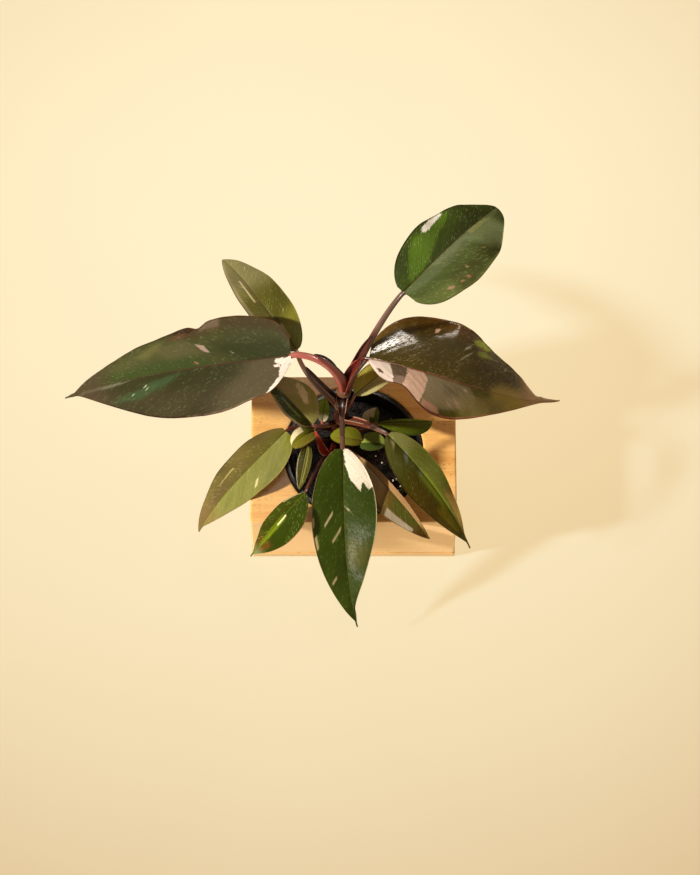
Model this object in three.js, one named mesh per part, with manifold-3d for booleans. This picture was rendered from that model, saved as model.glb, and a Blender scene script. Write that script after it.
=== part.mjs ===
// A young variegated philodendron in a black nursery pot, set in a drilled wooden block.
// Millimetres and degrees. +X is to the right seen from the front, +Y to the back, +Z up.
// The origin is the middle of the base board's underside.
import * as THREE from 'three';
import { mergeVertices } from 'three/addons/utils/BufferGeometryUtils.js';
import Module from 'manifold-3d';

const wasm = await Module();
wasm.setup();

// Gap left between a piece and what it is seated on
const seatGap = 0.3;

// Wooden block with its round hole, on a thin base board
const board = { thickness: 8, overhang: 0.5, corner: 0.8, ease: 0.8 };
const block = {
  width: 152, depth: 115, top: 78, corner: 0.5, ease: 1, cornerSteps: 3,
  holeRadius: 52, holeY: -2, holeSteps: 40,
};

// Nursery pot: tapered wall, turned-out rim with an eased lip, drain holes round the floor
const pot = {
  floorRadius: 40, topRadius: 49.3, wall: 1.2, floor: 1.8, footRecess: 1.5, footWidth: 3, rimTop: 77,
  rimDrop: 7, rimRadius: 51.4, rimFlare: 0.4, lipHeight: 1, lipEase: 0.8, steps: 32,
};
const drain = { count: 6, radius: 4, circle: 25, cutDepth: 10, sides: 12 };

// Soil: level at the wall, lumps on top
const soil = { level: 63, lump: 1.6, dome: 1.5, rings: 6, steps: 30 };

// Main stem, from its lower end in the soil to its crown
const stem = {
  path: [[-12, 11, 42], [-12, 12, 78], [-9, 15, 112], [-7, 20, 143]],
  radius: [6.6, 4.6], knot: 0.5, knots: 5, rings: 14, sides: 10,
};

// Leaf blades are this thick; each one is a grid of cells, finer on the large leaves
const bladeThickness = 0.9;
const leafGrids = { large: { along: 12, across: 6, sides: 6 }, small: { along: 8, across: 4, sides: 6 } };
// Where a blade starts and ends along its midrib, its narrowest half width, and how even its rows are
const bladeLimits = { from: 0.012, to: 0.995, least: 0.5, evenness: 0.4 };
// Drawn-out tip: its half width against its length, and how fast it starts and closes
const drip = { width: 0.6, start: 8, close: 1.2 };
// Stalk rings up to the blade, then rings where it runs on as the rib below the blade
const stalkRings = {
  steps: 7, wingFrom: 0.2, ribStops: [0.06, 0.18, 0.34], ribEnd: 0.4, ribLeast: 0.35, ribDrop: 0.6,
};

// Leaves. In each pair the first value is the half on the left, looking from base to tip.
// base, tip: ends of the midrib; arch, bow: how far its two inner handles stand up and to the left
// width, widest, taper, tail: half widths, where they are largest, how sharply they close, drawn-out tip
// fold, curl: lift of each half in degrees, and how it changes towards the edge; wave: height, count
// nick: side, place, depth and span of a bite in the edge
// stalk: start, two handles and end radii; sheath: half width of its winged foot, and how far it reaches
const leaves = [
  {
    name: 'leaf_left_large', size: 'large', color: 0x3a4427,
    base: [-43, 40, 165], tip: [-213, 30, 104], arch: [12, 18], bow: [2, -2], roll: 0,
    width: [38, 35], widest: [0.42, 0.28], taper: [1.15, 0.85], tail: [0.05, 0.05],
    fold: [10, 10], curl: [-10, -10], wave: [1.5, 3], nick: [-1, 0.41, 0.1, 0.03],
    stalk: [[-7, 20, 137], [-8, 27, 164], [-24, 37, 172]], radius: [3.2, 2.3], sheath: [4.6, 0.75],
  },
  {
    name: 'leaf_back_right', size: 'large', color: 0x35461f,
    base: [35, 78, 188], tip: [105, 158, 162], arch: [8, 12], bow: [0, 0], roll: 0,
    width: [27, 33], widest: [0.42, 0.42], taper: [0.75, 0.5], tail: [0, 0],
    fold: [10, 10], curl: [-15, -15], wave: [1.5, 3],
    stalk: [[-6, 21, 134], [1, 32, 163], [20, 60, 188]], radius: [3, 1.9], sheath: [4.4, 0.55],
  },
  {
    name: 'leaf_right_large', size: 'large', color: 0x4a4524,
    base: [9, 37, 166], tip: [153, 33, 92], arch: [22, 22], bow: [-8, -24], roll: 0,
    width: [45, 33], widest: [0.36, 0.31], taper: [0.95, 2.3], tail: [0.14, 0.03],
    fold: [10, 10], curl: [-10, -10], wave: [2, 3], nick: [-1, 0.16, 0.42, 0.08],
    stalk: [[-6, 20, 138], [-4, 25, 152], [1, 31, 160]], radius: [3.4, 2.6], sheath: [4.4, 0.9],
  },
  {
    name: 'leaf_back_left', size: 'large', color: 0x45502a,
    base: [-41, 46, 157], tip: [-98, 138, 112], arch: [8, 12], bow: [0, -2], roll: 0,
    width: [14, 18], widest: [0.4, 0.4], taper: [0.8, 0.85], tail: [0, 0],
    fold: [12, 12], curl: [-10, -10], wave: [1, 3],
    stalk: [[-9, 17, 116], [-17, 20, 130], [-38, 30, 152]], radius: [2.6, 1.6], sheath: [4, 0.75],
  },
  {
    name: 'leaf_front', size: 'large', color: 0x2f4a22,
    base: [-8, -13, 118], tip: [3, -121, 22], arch: [8, 12], bow: [-3, -8], roll: 0,
    width: [24, 24], widest: [0.38, 0.38], taper: [1.2, 0.95], tail: [0.1, 0.04],
    fold: [10, 10], curl: [-12, -12], wave: [1, 3],
    stalk: [[-8, 19, 132], [-9, 11, 156], [-8, -5, 137]], radius: [2.4, 1.8], sheath: [4.2, 0.55],
  },
  {
    name: 'leaf_front_right', size: 'large', color: 0x3c5228,
    base: [24, -4, 121], tip: [86, -74, 66], arch: [8, 12], bow: [4, 4], roll: 0,
    width: [13, 19], widest: [0.34, 0.4], taper: [1.2, 1], tail: [0.08, 0.05],
    fold: [10, 10], curl: [-10, -10], wave: [0.8, 3],
    stalk: [[-9, 14, 99], [-2, 9, 112], [11, 2, 123]], radius: [2.4, 1.6], sheath: [3.4, 0.7],
  },
  {
    name: 'leaf_left_low', size: 'large', color: 0x5c6a30,
    base: [-49, 9, 94], tip: [-115, -57, 54], arch: [8, 10], bow: [0, -4], roll: 0,
    width: [20, 16], widest: [0.34, 0.4], taper: [0.9, 0.9], tail: [0.05, 0],
    fold: [10, 10], curl: [-10, -10], wave: [1, 3],
    stalk: [[-11, 13, 80], [-20, 14, 90], [-36, 13, 96]], radius: [2, 1.4], sheath: [2.6, 0.4],
  },
  {
    name: 'leaf_front_left', size: 'large', color: 0x34491f,
    base: [-35, -41, 98], tip: [-76, -78, 60], arch: [9, 11], bow: [1, 3], roll: 0,
    width: [17, 9], widest: [0.4, 0.45], taper: [0.9, 0.9], tail: [0, 0],
    fold: [10, 10], curl: [-10, -10], wave: [0.6, 3],
    stalk: [[-13, 11, 68], [-22, 2, 62], [-28, -22, 90]], radius: [2, 1.4], sheath: [2.6, 0.3],
  },
  {
    name: 'leaf_right_folded', size: 'large', color: 0x5a5a30,
    base: [4, -13, 95], tip: [56, -70, 76], arch: [7, 10], bow: [0, 0], roll: 20,
    width: [5, 17], widest: [0.4, 0.4], taper: [0.9, 0.9], tail: [0, 0],
    fold: [25, 10], curl: [0, 0], wave: [0.6, 3],
    stalk: [[-11, 11, 68], [-7, 2, 76], [-2, -8, 91]], radius: [2, 1.4], sheath: [2.6, 0.4],
  },
  {
    name: 'leaf_left_inner', size: 'large', color: 0x3d4a26,
    base: [-30, 5, 114], tip: [-64, 38, 124], arch: [6, 8], bow: [0, 0], roll: 0,
    width: [11, 17], widest: [0.4, 0.4], taper: [0.9, 0.9], tail: [0, 0],
    fold: [12, 12], curl: [0, 0], wave: [0.6, 2],
    stalk: [[-11, 14, 96], [-17, 8, 106], [-23, 4, 112]], radius: [1.9, 1.4], sheath: [2.6, 0.4],
  },
  {
    name: 'leaf_back_inner', size: 'small', color: 0x6a7036,
    base: [1, 20, 137], tip: [32, 45, 136], arch: [4, 4], bow: [0, 0], roll: 0,
    width: [11, 10], widest: [0.45, 0.45], taper: [0.8, 0.8], tail: [0, 0],
    fold: [15, 15], curl: [0, 0], wave: [0.5, 2],
    stalk: [[-8, 17, 112], [-3, 15, 122], [-2, 16, 132]], radius: [1.7, 1.2], sheath: [2.4, 0.4],
  },
  {
    name: 'leaf_small_upright', size: 'small', color: 0x50682c,
    base: [-23, 18, 88], tip: [-21, 26, 116], arch: [-2, -3], bow: [0, 0], roll: 0,
    width: [5, 4.5], widest: [0.4, 0.4], taper: [0.6, 0.6], tail: [0, 0],
    fold: [15, 15], curl: [0, 0], wave: [0, 2],
    stalk: [[-12, 13, 84], [-17, 15, 84], [-22, 16, 84]], radius: [2.4, 1.6], sheath: [2.8, 0.6],
  },
  {
    name: 'leaf_small_left', size: 'small', color: 0x66702f,
    base: [-29, 7, 96], tip: [-45, -4, 95], arch: [5, 5], bow: [0, 0], roll: 10,
    width: [9, 5], widest: [0.5, 0.5], taper: [0.5, 0.5], tail: [0, 0],
    fold: [20, 20], curl: [0, 0], wave: [0, 2],
    stalk: [[-12, 13, 76], [-20, 15, 84], [-27, 12, 95]], radius: [1.6, 1.1], sheath: [2.2, 0.4],
  },
  {
    name: 'leaf_small_hanging', size: 'small', color: 0x4f5527,
    base: [-34, -1, 88], tip: [-40, -34, 84], arch: [4, 4], bow: [0, 0], roll: 0,
    width: [5.5, 5], widest: [0.4, 0.4], taper: [0.7, 0.7], tail: [0, 0],
    fold: [10, 10], curl: [0, 0], wave: [0, 2],
    stalk: [[-13, 12, 66], [-22, 6, 76], [-32, 6, 86]], radius: [1.6, 1.1], sheath: [2.2, 0.4],
  },
  {
    name: 'leaf_small_right', size: 'small', color: 0x35451f,
    base: [17, 13, 96], tip: [58, 17, 90], arch: [4, 4], bow: [0, -2], roll: -20,
    width: [2.5, 11], widest: [0.5, 0.6], taper: [0.6, 0.7], tail: [0, 0],
    fold: [20, 0], curl: [0, -30], wave: [0, 2],
    stalk: [[-9, 14, 88], [0, 11, 92], [8, 12, 95]], radius: [1.6, 1.2], sheath: [2.2, 0.4],
  },
  {
    name: 'leaf_tiny_back', size: 'small', color: 0x6e7350,
    base: [14, 16, 84], tip: [17, 25, 98], arch: [1, 1], bow: [0, 0], roll: 0,
    width: [9, 3.5], widest: [0.5, 0.5], taper: [0.7, 0.5], tail: [0, 0],
    fold: [20, 20], curl: [0, 0], wave: [0, 2],
    stalk: [[-10, 13, 78], [0, 13, 80], [9, 13, 80]], radius: [1.4, 1], sheath: [1.8, 0.4],
  },
  {
    name: 'leaf_small_centre', size: 'small', color: 0x6a7230,
    base: [6, 0, 96], tip: [-17, 2, 99], arch: [3, 3], bow: [0, 0], roll: 0,
    width: [7, 8], widest: [0.45, 0.45], taper: [0.6, 0.6], tail: [0, 0],
    fold: [12, 12], curl: [0, 0], wave: [0, 2],
    stalk: [[-8, 12, 72], [4, 10, 80], [9, 4, 94]], radius: [1.4, 1], sheath: [1.8, 0.4],
  },
  {
    name: 'leaf_small_oval', size: 'small', color: 0x557036,
    base: [5, 3, 82], tip: [23, 0, 88], arch: [3, 3], bow: [0, 0], roll: 0,
    width: [8, 7], widest: [0.5, 0.5], taper: [0.5, 0.5], tail: [0, 0],
    fold: [10, 10], curl: [0, 0], wave: [0, 2],
    stalk: [[-8, 12, 68], [-2, 9, 74], [2, 5, 80]], radius: [1.4, 1], sheath: [1.8, 0.4],
  },
];

// Rolled new leaf: it leaves the front of the stem, bends up and leans left, thickest at `full`
const newLeaf = {
  path: [[-12, 11, 76], [-19, -10, 72], [-21, -8, 88], [-28, 4, 104]],
  radius: [2.6, 3.4, 0.8], full: 0.6, closing: 1.6, flatten: 0.6, facing: [0, -1, 0.4], rings: 9, sides: 8,
};

const colors = {
  block: 0xd9a25c, board: 0xc99a5e, pot: 0x161616, soil: 0x241a14, stem: 0x4a2a20, newLeaf: 0xa84a44,
};
const up = new THREE.Vector3(0, 0, 1);

function vector(values) {
  return new THREE.Vector3(...values);
}

function pathPoint(path, t) {
  const curve = new THREE.CubicBezierCurve3(...path.map(vector));
  return { at: curve.getPoint(t), tangent: curve.getTangent(t) };
}

// Closed solid from a three.js geometry
function toSolid(geometry) {
  const bare = geometry.clone();
  bare.deleteAttribute('normal');
  bare.deleteAttribute('uv');
  const merged = mergeVertices(bare, 1e-4);
  return new wasm.Manifold(new wasm.Mesh({
    numProp: 3,
    vertProperties: new Float32Array(merged.attributes.position.array),
    triVerts: new Uint32Array(merged.index.array),
  }));
}

function largestPiece(solid) {
  return solid.decompose().sort((a, b) => b.volume() - a.volume())[0];
}

function toGeometry(coordinates, faces) {
  const geometry = new THREE.BufferGeometry();
  geometry.setAttribute('position', new THREE.Float32BufferAttribute(coordinates, 3));
  geometry.setIndex(faces);
  return geometry;
}

function toMesh(name, solid, color, roughness) {
  const { vertProperties, triVerts } = solid.getMesh();
  const geometry = toGeometry([...vertProperties], [...triVerts]);
  geometry.computeVertexNormals();
  const material = new THREE.MeshStandardMaterial({ color, roughness, metalness: 0 });
  const piece = new THREE.Mesh(geometry, material);
  piece.name = name;
  return piece;
}

// Closed skin over rings of points that all have the same count, capped at both ends
function skin(rings) {
  const count = rings[0].length;
  const points = rings.flat();
  const faces = [];
  for (let i = 0; i < rings.length - 1; i += 1) {
    for (let j = 0; j < count; j += 1) {
      const a = i * count + j;
      const b = i * count + (j + 1) % count;
      faces.push(a, b, b + count, a, b + count, a + count);
    }
  }
  const last = (rings.length - 1) * count;
  for (let j = 1; j < count - 1; j += 1) {
    faces.push(0, j + 1, j);
    faces.push(last, last + j, last + j + 1);
  }
  return toGeometry(points.flatMap((p) => p.toArray()), faces);
}

// Ring of points round a centre: half width along the side vector, half height along the other
function ring(center, tangent, facing, halfWidth, halfHeight, sides) {
  const normal = facing.clone().addScaledVector(tangent, -facing.dot(tangent)).normalize();
  const side = new THREE.Vector3().crossVectors(normal, tangent).normalize();
  return Array.from({ length: sides }, (_, k) => {
    const angle = (2 * Math.PI * (k + 0.5)) / sides;
    return center.clone()
      .addScaledVector(side, halfWidth * Math.cos(angle))
      .addScaledVector(normal, halfHeight * Math.sin(angle));
  });
}

// Points of an arc in the XY plane
function arc(x, y, radius, from, to, steps) {
  return Array.from({ length: steps + 1 }, (_, k) => {
    const angle = from + ((to - from) * k) / steps;
    return new THREE.Vector2(x + radius * Math.cos(angle), y + radius * Math.sin(angle));
  });
}

// Slab with rounded corners and eased edges, between two heights, with or without the round hole
function slab(width, depth, bottom, top, corner, ease, holeRadius) {
  const x = width / 2 - ease - corner;
  const y = depth / 2 - ease - corner;
  const quarter = Math.PI / 2;
  const shape = new THREE.Shape([
    ...arc(x, -y, corner, -quarter, 0, block.cornerSteps),
    ...arc(x, y, corner, 0, quarter, block.cornerSteps),
    ...arc(-x, y, corner, quarter, 2 * quarter, block.cornerSteps),
    ...arc(-x, -y, corner, 2 * quarter, 3 * quarter, block.cornerSteps),
  ]);
  if (holeRadius > 0) {
    const round = arc(0, block.holeY, holeRadius + ease, 0, -2 * Math.PI, block.holeSteps);
    shape.holes.push(new THREE.Path(round.slice(1)));
  }
  const geometry = new THREE.ExtrudeGeometry(shape, {
    depth: top - bottom - 2 * ease, bevelThickness: ease, bevelSize: ease, bevelSegments: 2,
  });
  geometry.translate(0, 0, bottom + ease);
  return toSolid(geometry);
}

function makeBlock() {
  const { width, depth, top, corner, ease, holeRadius } = block;
  return slab(width, depth, board.thickness, top, corner, ease, holeRadius);
}

function makeBoard() {
  const { overhang, thickness, corner, ease } = board;
  return slab(block.width + 2 * overhang, block.depth + 2 * overhang, 0, thickness, corner, ease, 0);
}

// Radius of the pot's outer wall at a height
function potRadius(z) {
  const share = (z - board.thickness) / (pot.rimTop - board.thickness);
  return pot.floorRadius + (pot.topRadius - pot.floorRadius) * share;
}

function makePot() {
  const foot = board.thickness;
  const floorTop = foot + pot.footRecess + pot.floor;
  const rimFoot = pot.rimTop - pot.rimDrop;
  const profile = [
    [0, foot + pot.footRecess],
    [pot.floorRadius - pot.footWidth, foot + pot.footRecess],
    [pot.floorRadius - pot.footWidth, foot],
    [pot.floorRadius, foot],
    [potRadius(rimFoot), rimFoot],
    [pot.rimRadius - pot.rimFlare, rimFoot],
    [pot.rimRadius, pot.rimTop - pot.lipHeight],
    [pot.rimRadius - pot.lipEase, pot.rimTop],
    [potRadius(pot.rimTop) - pot.wall, pot.rimTop],
    [potRadius(floorTop) - pot.wall, floorTop],
    [0, floorTop],
  ].map(([r, z]) => new THREE.Vector2(r, z));
  const shell = new THREE.LatheGeometry(profile, pot.steps);
  shell.rotateX(Math.PI / 2);
  shell.translate(0, block.holeY, 0);
  let solid = toSolid(shell);
  for (let k = 0; k < drain.count; k += 1) {
    const angle = (2 * Math.PI * k) / drain.count;
    const x = drain.circle * Math.cos(angle);
    const y = block.holeY + drain.circle * Math.sin(angle);
    const hole = new THREE.CylinderGeometry(drain.radius, drain.radius, drain.cutDepth, drain.sides);
    hole.rotateX(Math.PI / 2);
    hole.translate(x, y, foot + pot.footRecess);
    solid = solid.subtract(toSolid(hole));
  }
  return solid;
}

// Height of the soil's top: a low dome with lumps of a few sizes
function soilHeight(x, y) {
  const away = Math.hypot(x, y - block.holeY) / pot.topRadius;
  const lumps = Math.sin(0.23 * x + 1.3) * Math.sin(0.19 * y) + 0.6 * Math.sin(0.41 * x - 0.37 * y + 2);
  return soil.level + soil.dome * (1 - away * away) + soil.lump * lumps * (1 - away ** 4);
}

function makeSoil(hole) {
  const bottom = board.thickness + pot.footRecess + pot.floor;
  const rings = [];
  const circle = (radius, height) => Array.from({ length: soil.steps }, (_, k) => {
    const angle = (2 * Math.PI * k) / soil.steps;
    const x = radius * Math.cos(angle);
    const y = block.holeY + radius * Math.sin(angle);
    return new THREE.Vector3(x, y, height ?? soilHeight(x, y));
  });
  const inner = (z) => (potRadius(z) - pot.wall) * Math.cos(Math.PI / pot.steps) - seatGap;
  rings.push(circle(inner(bottom), bottom));
  for (let k = soil.rings; k > 0; k -= 1) {
    rings.push(circle((inner(soil.level) * k) / soil.rings));
  }
  rings.push(circle(1));
  return toSolid(skin(rings)).subtract(hole);
}

// Stem with a slight swelling where each leaf has grown; grown by a margin, it is also its own hole
function makeStem(margin) {
  const rings = [];
  for (let i = 0; i <= stem.rings; i += 1) {
    const t = i / stem.rings;
    const { at, tangent } = pathPoint(stem.path, t);
    const swell = stem.knot * Math.cos(2 * Math.PI * stem.knots * t);
    const radius = stem.radius[0] + (stem.radius[1] - stem.radius[0]) * t + swell + margin;
    at.addScaledVector(tangent, i === 0 ? -margin : margin * (i === stem.rings));
    rings.push(ring(at, tangent, new THREE.Vector3(0, 1, 0), radius, radius, stem.sides));
  }
  return toSolid(skin(rings));
}

// Share of a half width at a place along the midrib: round at the base, closing to a tip
function bladeShape(u, widest, taper, tail) {
  const rise = (taper * widest) / (1 - widest);
  const peak = widest ** rise * (1 - widest) ** taper;
  const t = Math.min(u / (1 - tail), 1);
  const body = (t ** rise * (1 - t) ** taper) / peak;
  const closing = tail > 0 ? Math.min(1, (drip.close * (1 - u)) / tail) : 0;
  return Math.hypot(body, drip.width * tail * Math.min(1, drip.start * u) * closing);
}

// Midrib as a Bezier path, with the directions that the blade is set out from
function bladeFrame(leaf) {
  const base = vector(leaf.base);
  const tip = vector(leaf.tip);
  const chord = tip.clone().sub(base).normalize();
  const above = up.clone().addScaledVector(chord, -chord.z).normalize();
  const left = new THREE.Vector3().crossVectors(above, chord);
  const handle = (share, k) => base.clone().lerp(tip, share)
    .addScaledVector(above, leaf.arch[k])
    .addScaledVector(left, leaf.bow[k]);
  const path = [base, handle(1 / 3, 0), handle(2 / 3, 1), tip];
  const curve = new THREE.CubicBezierCurve3(...path);
  const facing = above.clone().applyAxisAngle(chord, THREE.MathUtils.degToRad(leaf.roll));
  return { curve, facing };
}

// Point of the blade's middle surface: u from base to tip, v from -1 at the right edge to 1 at the left
function bladePoint(leaf, frame, u, v) {
  const at = frame.curve.getPoint(u);
  const tangent = frame.curve.getTangent(u);
  const left = new THREE.Vector3().crossVectors(frame.facing, tangent).normalize();
  const normal = new THREE.Vector3().crossVectors(tangent, left);
  const half = v > 0 ? 0 : 1;
  const away = Math.abs(v);
  let width = leaf.width[half] * bladeShape(u, leaf.widest[half], leaf.taper[half], leaf.tail[half]);
  if (leaf.nick && Math.sign(v) === leaf.nick[0]) {
    width *= 1 - leaf.nick[2] * Math.exp(-(((u - leaf.nick[1]) / leaf.nick[3]) ** 2));
  }
  const reach = away * Math.max(width, bladeLimits.least);
  const angle = THREE.MathUtils.degToRad(leaf.fold[half] + 0.5 * leaf.curl[half] * away);
  const ripple = Math.sin(2 * Math.PI * (leaf.wave[1] * u + 0.5 * half)) * Math.sqrt(Math.sin(Math.PI * u));
  return at
    .addScaledVector(left, (half === 0 ? 1 : -1) * reach * Math.cos(angle))
    .addScaledVector(normal, reach * Math.sin(angle) + leaf.wave[0] * away * away * ripple);
}

// Blade: a grid of cells, the same on the upper and the lower face, closed round the edge
function makeBlade(leaf, frame) {
  const { along, across } = leafGrids[leaf.size];
  const { lerp } = THREE.MathUtils;
  const grid = [];
  for (let i = 0; i <= along; i += 1) {
    const eased = 0.5 - 0.5 * Math.cos((Math.PI * i) / along);
    const u = lerp(bladeLimits.from, bladeLimits.to, lerp(eased, i / along, bladeLimits.evenness));
    grid.push(Array.from({ length: across + 1 }, (_, j) => bladePoint(leaf, frame, u, (2 * j) / across - 1)));
  }
  const faceNormal = (i, j) => {
    const before = grid[Math.max(i - 1, 0)][j];
    const after = grid[Math.min(i + 1, along)][j];
    const right = grid[i][Math.max(j - 1, 0)];
    const left = grid[i][Math.min(j + 1, across)];
    return after.clone().sub(before).cross(left.clone().sub(right)).normalize();
  };
  const points = [];
  for (const offset of [bladeThickness / 2, -bladeThickness / 2]) {
    for (let i = 0; i <= along; i += 1) {
      for (let j = 0; j <= across; j += 1) {
        points.push(grid[i][j].clone().addScaledVector(faceNormal(i, j), offset));
      }
    }
  }
  const row = across + 1;
  const lower = (along + 1) * row;
  const faces = [];
  for (let i = 0; i < along; i += 1) {
    for (let j = 0; j < across; j += 1) {
      const a = i * row + j;
      const b = a + row;
      faces.push(a, b, b + 1, a, b + 1, a + 1);
      faces.push(lower + a, lower + b + 1, lower + b, lower + a, lower + a + 1, lower + b + 1);
    }
    const right = i * row;
    const left = right + across;
    faces.push(right, lower + right, lower + right + row, right, lower + right + row, right + row);
    faces.push(left, lower + left + row, lower + left, left, left + row, lower + left + row);
  }
  for (let j = 0; j < across; j += 1) {
    const end = along * row + j;
    faces.push(j, j + 1, lower + j + 1, j, lower + j + 1, lower + j);
    faces.push(end, lower + end + 1, end + 1, end, lower + end, lower + end + 1);
  }
  return toSolid(toGeometry(points.flatMap((p) => p.toArray()), faces));
}

// Stalk: winged where it leaves the stem, round further on, and running out under the midrib
function makeStalk(leaf, frame, margin) {
  const { sides } = leafGrids[leaf.size];
  const { steps, wingFrom, ribStops, ribEnd, ribLeast, ribDrop } = stalkRings;
  const path = [...leaf.stalk, leaf.base];
  const outward = vector(leaf.base).sub(vector(leaf.stalk[0])).setZ(0).normalize();
  const facing = up.clone().sub(outward);
  const rings = [];
  for (let i = 0; i < steps; i += 1) {
    const t = i / (steps - 0.5);
    const { at, tangent } = pathPoint(path, t);
    const radius = THREE.MathUtils.lerp(leaf.radius[0], leaf.radius[1], t);
    const fade = 1 - THREE.MathUtils.smoothstep(t, wingFrom, leaf.sheath[1]);
    const wing = Math.max(0, leaf.sheath[0] - leaf.radius[0]) * fade;
    rings.push(ring(at, tangent, facing, radius + wing + margin, radius + margin, sides));
  }
  for (const u of ribStops) {
    const tangent = frame.curve.getTangent(u);
    const thick = leaf.radius[1] * (1 - u / ribEnd) + ribLeast;
    const at = frame.curve.getPoint(u).addScaledVector(frame.facing, -ribDrop * thick);
    rings.push(ring(at, tangent, frame.facing, thick + margin, thick + margin, sides));
  }
  return toSolid(skin(rings));
}

function makeNewLeaf(margin) {
  const { path, full, closing, flatten, facing, sides } = newLeaf;
  const [foot, middle, end] = newLeaf.radius;
  const { lerp } = THREE.MathUtils;
  const rings = [];
  for (let i = 0; i <= newLeaf.rings; i += 1) {
    const t = i / newLeaf.rings;
    const { at, tangent } = pathPoint(path, t);
    const past = Math.max(0, (t - full) / (1 - full));
    const radius = t < full ? lerp(foot, middle, t / full) : lerp(middle, end, past ** closing);
    at.addScaledVector(tangent, i === 0 ? -margin : 0);
    rings.push(ring(at, tangent, vector(facing), radius + margin, flatten * radius + margin, sides));
  }
  return toSolid(skin(rings));
}

const plant = new THREE.Group();
const grownStem = makeStem(seatGap);
const grownNewLeaf = makeNewLeaf(seatGap);

plant.add(toMesh('base_board', makeBoard(), colors.board, 0.7));
plant.add(toMesh('planter_block', makeBlock(), colors.block, 0.55));
plant.add(toMesh('nursery_pot', makePot(), colors.pot, 0.5));
plant.add(toMesh('soil', makeSoil(grownStem), colors.soil, 1));
plant.add(toMesh('main_stem', makeStem(0), colors.stem, 0.5));
plant.add(toMesh('new_leaf_sheath', largestPiece(makeNewLeaf(0).subtract(grownStem)), colors.newLeaf, 0.4));

// Each stalk is cut back from the stem and from the stalks that already stand round it
let taken = grownStem.add(grownNewLeaf);
for (const leaf of leaves) {
  const frame = bladeFrame(leaf);
  const whole = makeBlade(leaf, frame).add(makeStalk(leaf, frame, 0));
  plant.add(toMesh(leaf.name, largestPiece(whole.subtract(taken)), leaf.color, 0.35));
  taken = taken.add(makeStalk(leaf, frame, seatGap));
}

export default plant;
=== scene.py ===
import bpy
import numpy as np
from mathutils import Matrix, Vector


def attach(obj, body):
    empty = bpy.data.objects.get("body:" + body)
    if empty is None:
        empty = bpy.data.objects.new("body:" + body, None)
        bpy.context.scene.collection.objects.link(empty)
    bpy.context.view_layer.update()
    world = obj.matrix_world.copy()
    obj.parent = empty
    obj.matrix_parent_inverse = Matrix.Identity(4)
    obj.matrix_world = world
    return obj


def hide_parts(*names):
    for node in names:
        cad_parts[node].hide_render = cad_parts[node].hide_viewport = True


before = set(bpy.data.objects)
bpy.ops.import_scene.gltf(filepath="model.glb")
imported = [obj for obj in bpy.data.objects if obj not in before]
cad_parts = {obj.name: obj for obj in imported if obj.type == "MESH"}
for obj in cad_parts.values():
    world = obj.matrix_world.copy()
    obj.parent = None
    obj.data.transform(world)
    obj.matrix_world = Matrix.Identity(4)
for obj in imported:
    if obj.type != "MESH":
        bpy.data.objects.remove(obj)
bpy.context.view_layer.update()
scene = bpy.context.scene
mm = 0.001
upward = np.array([0.0, 0.0, 1.0])
print("frame loaded")


# Shader tools

def tint(code):
    # sRGB hex code to the linear colour that the shaders use
    parts = [int(code[k:k + 2], 16) / 255 for k in (0, 2, 4)]
    linear = [p / 12.92 if p <= 0.04045 else ((p + 0.055) / 1.055) ** 2.4 for p in parts]
    return (*linear, 1.0)


class Wire:
    # A socket that can stand in an expression: each operator adds a Math node
    def __init__(self, paint, socket):
        self.paint = paint
        self.socket = socket

    def math(self, operation, *values):
        return self.paint.node("ShaderNodeMath", {"operation": operation}, dict(enumerate(values)))

    def __add__(self, other):
        return self.math("ADD", self, other)

    def __sub__(self, other):
        return self.math("SUBTRACT", self, other)

    def __rsub__(self, other):
        return self.math("SUBTRACT", other, self)

    def __mul__(self, other):
        return self.math("MULTIPLY", self, other)

    __radd__ = __add__
    __rmul__ = __mul__

    def __abs__(self):
        return self.math("ABSOLUTE", self)

    def ease(self, low, high):
        # 0 at low, 1 at high and smooth between; low may be the larger one
        ends = {"Value": self, "From Min": low, "From Max": high}
        return self.paint.node("ShaderNodeMapRange", {"interpolation_type": "SMOOTHSTEP"}, ends)

    def output(self, name):
        # another output of the same node
        return Wire(self.paint, self.socket.node.outputs[name])


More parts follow.
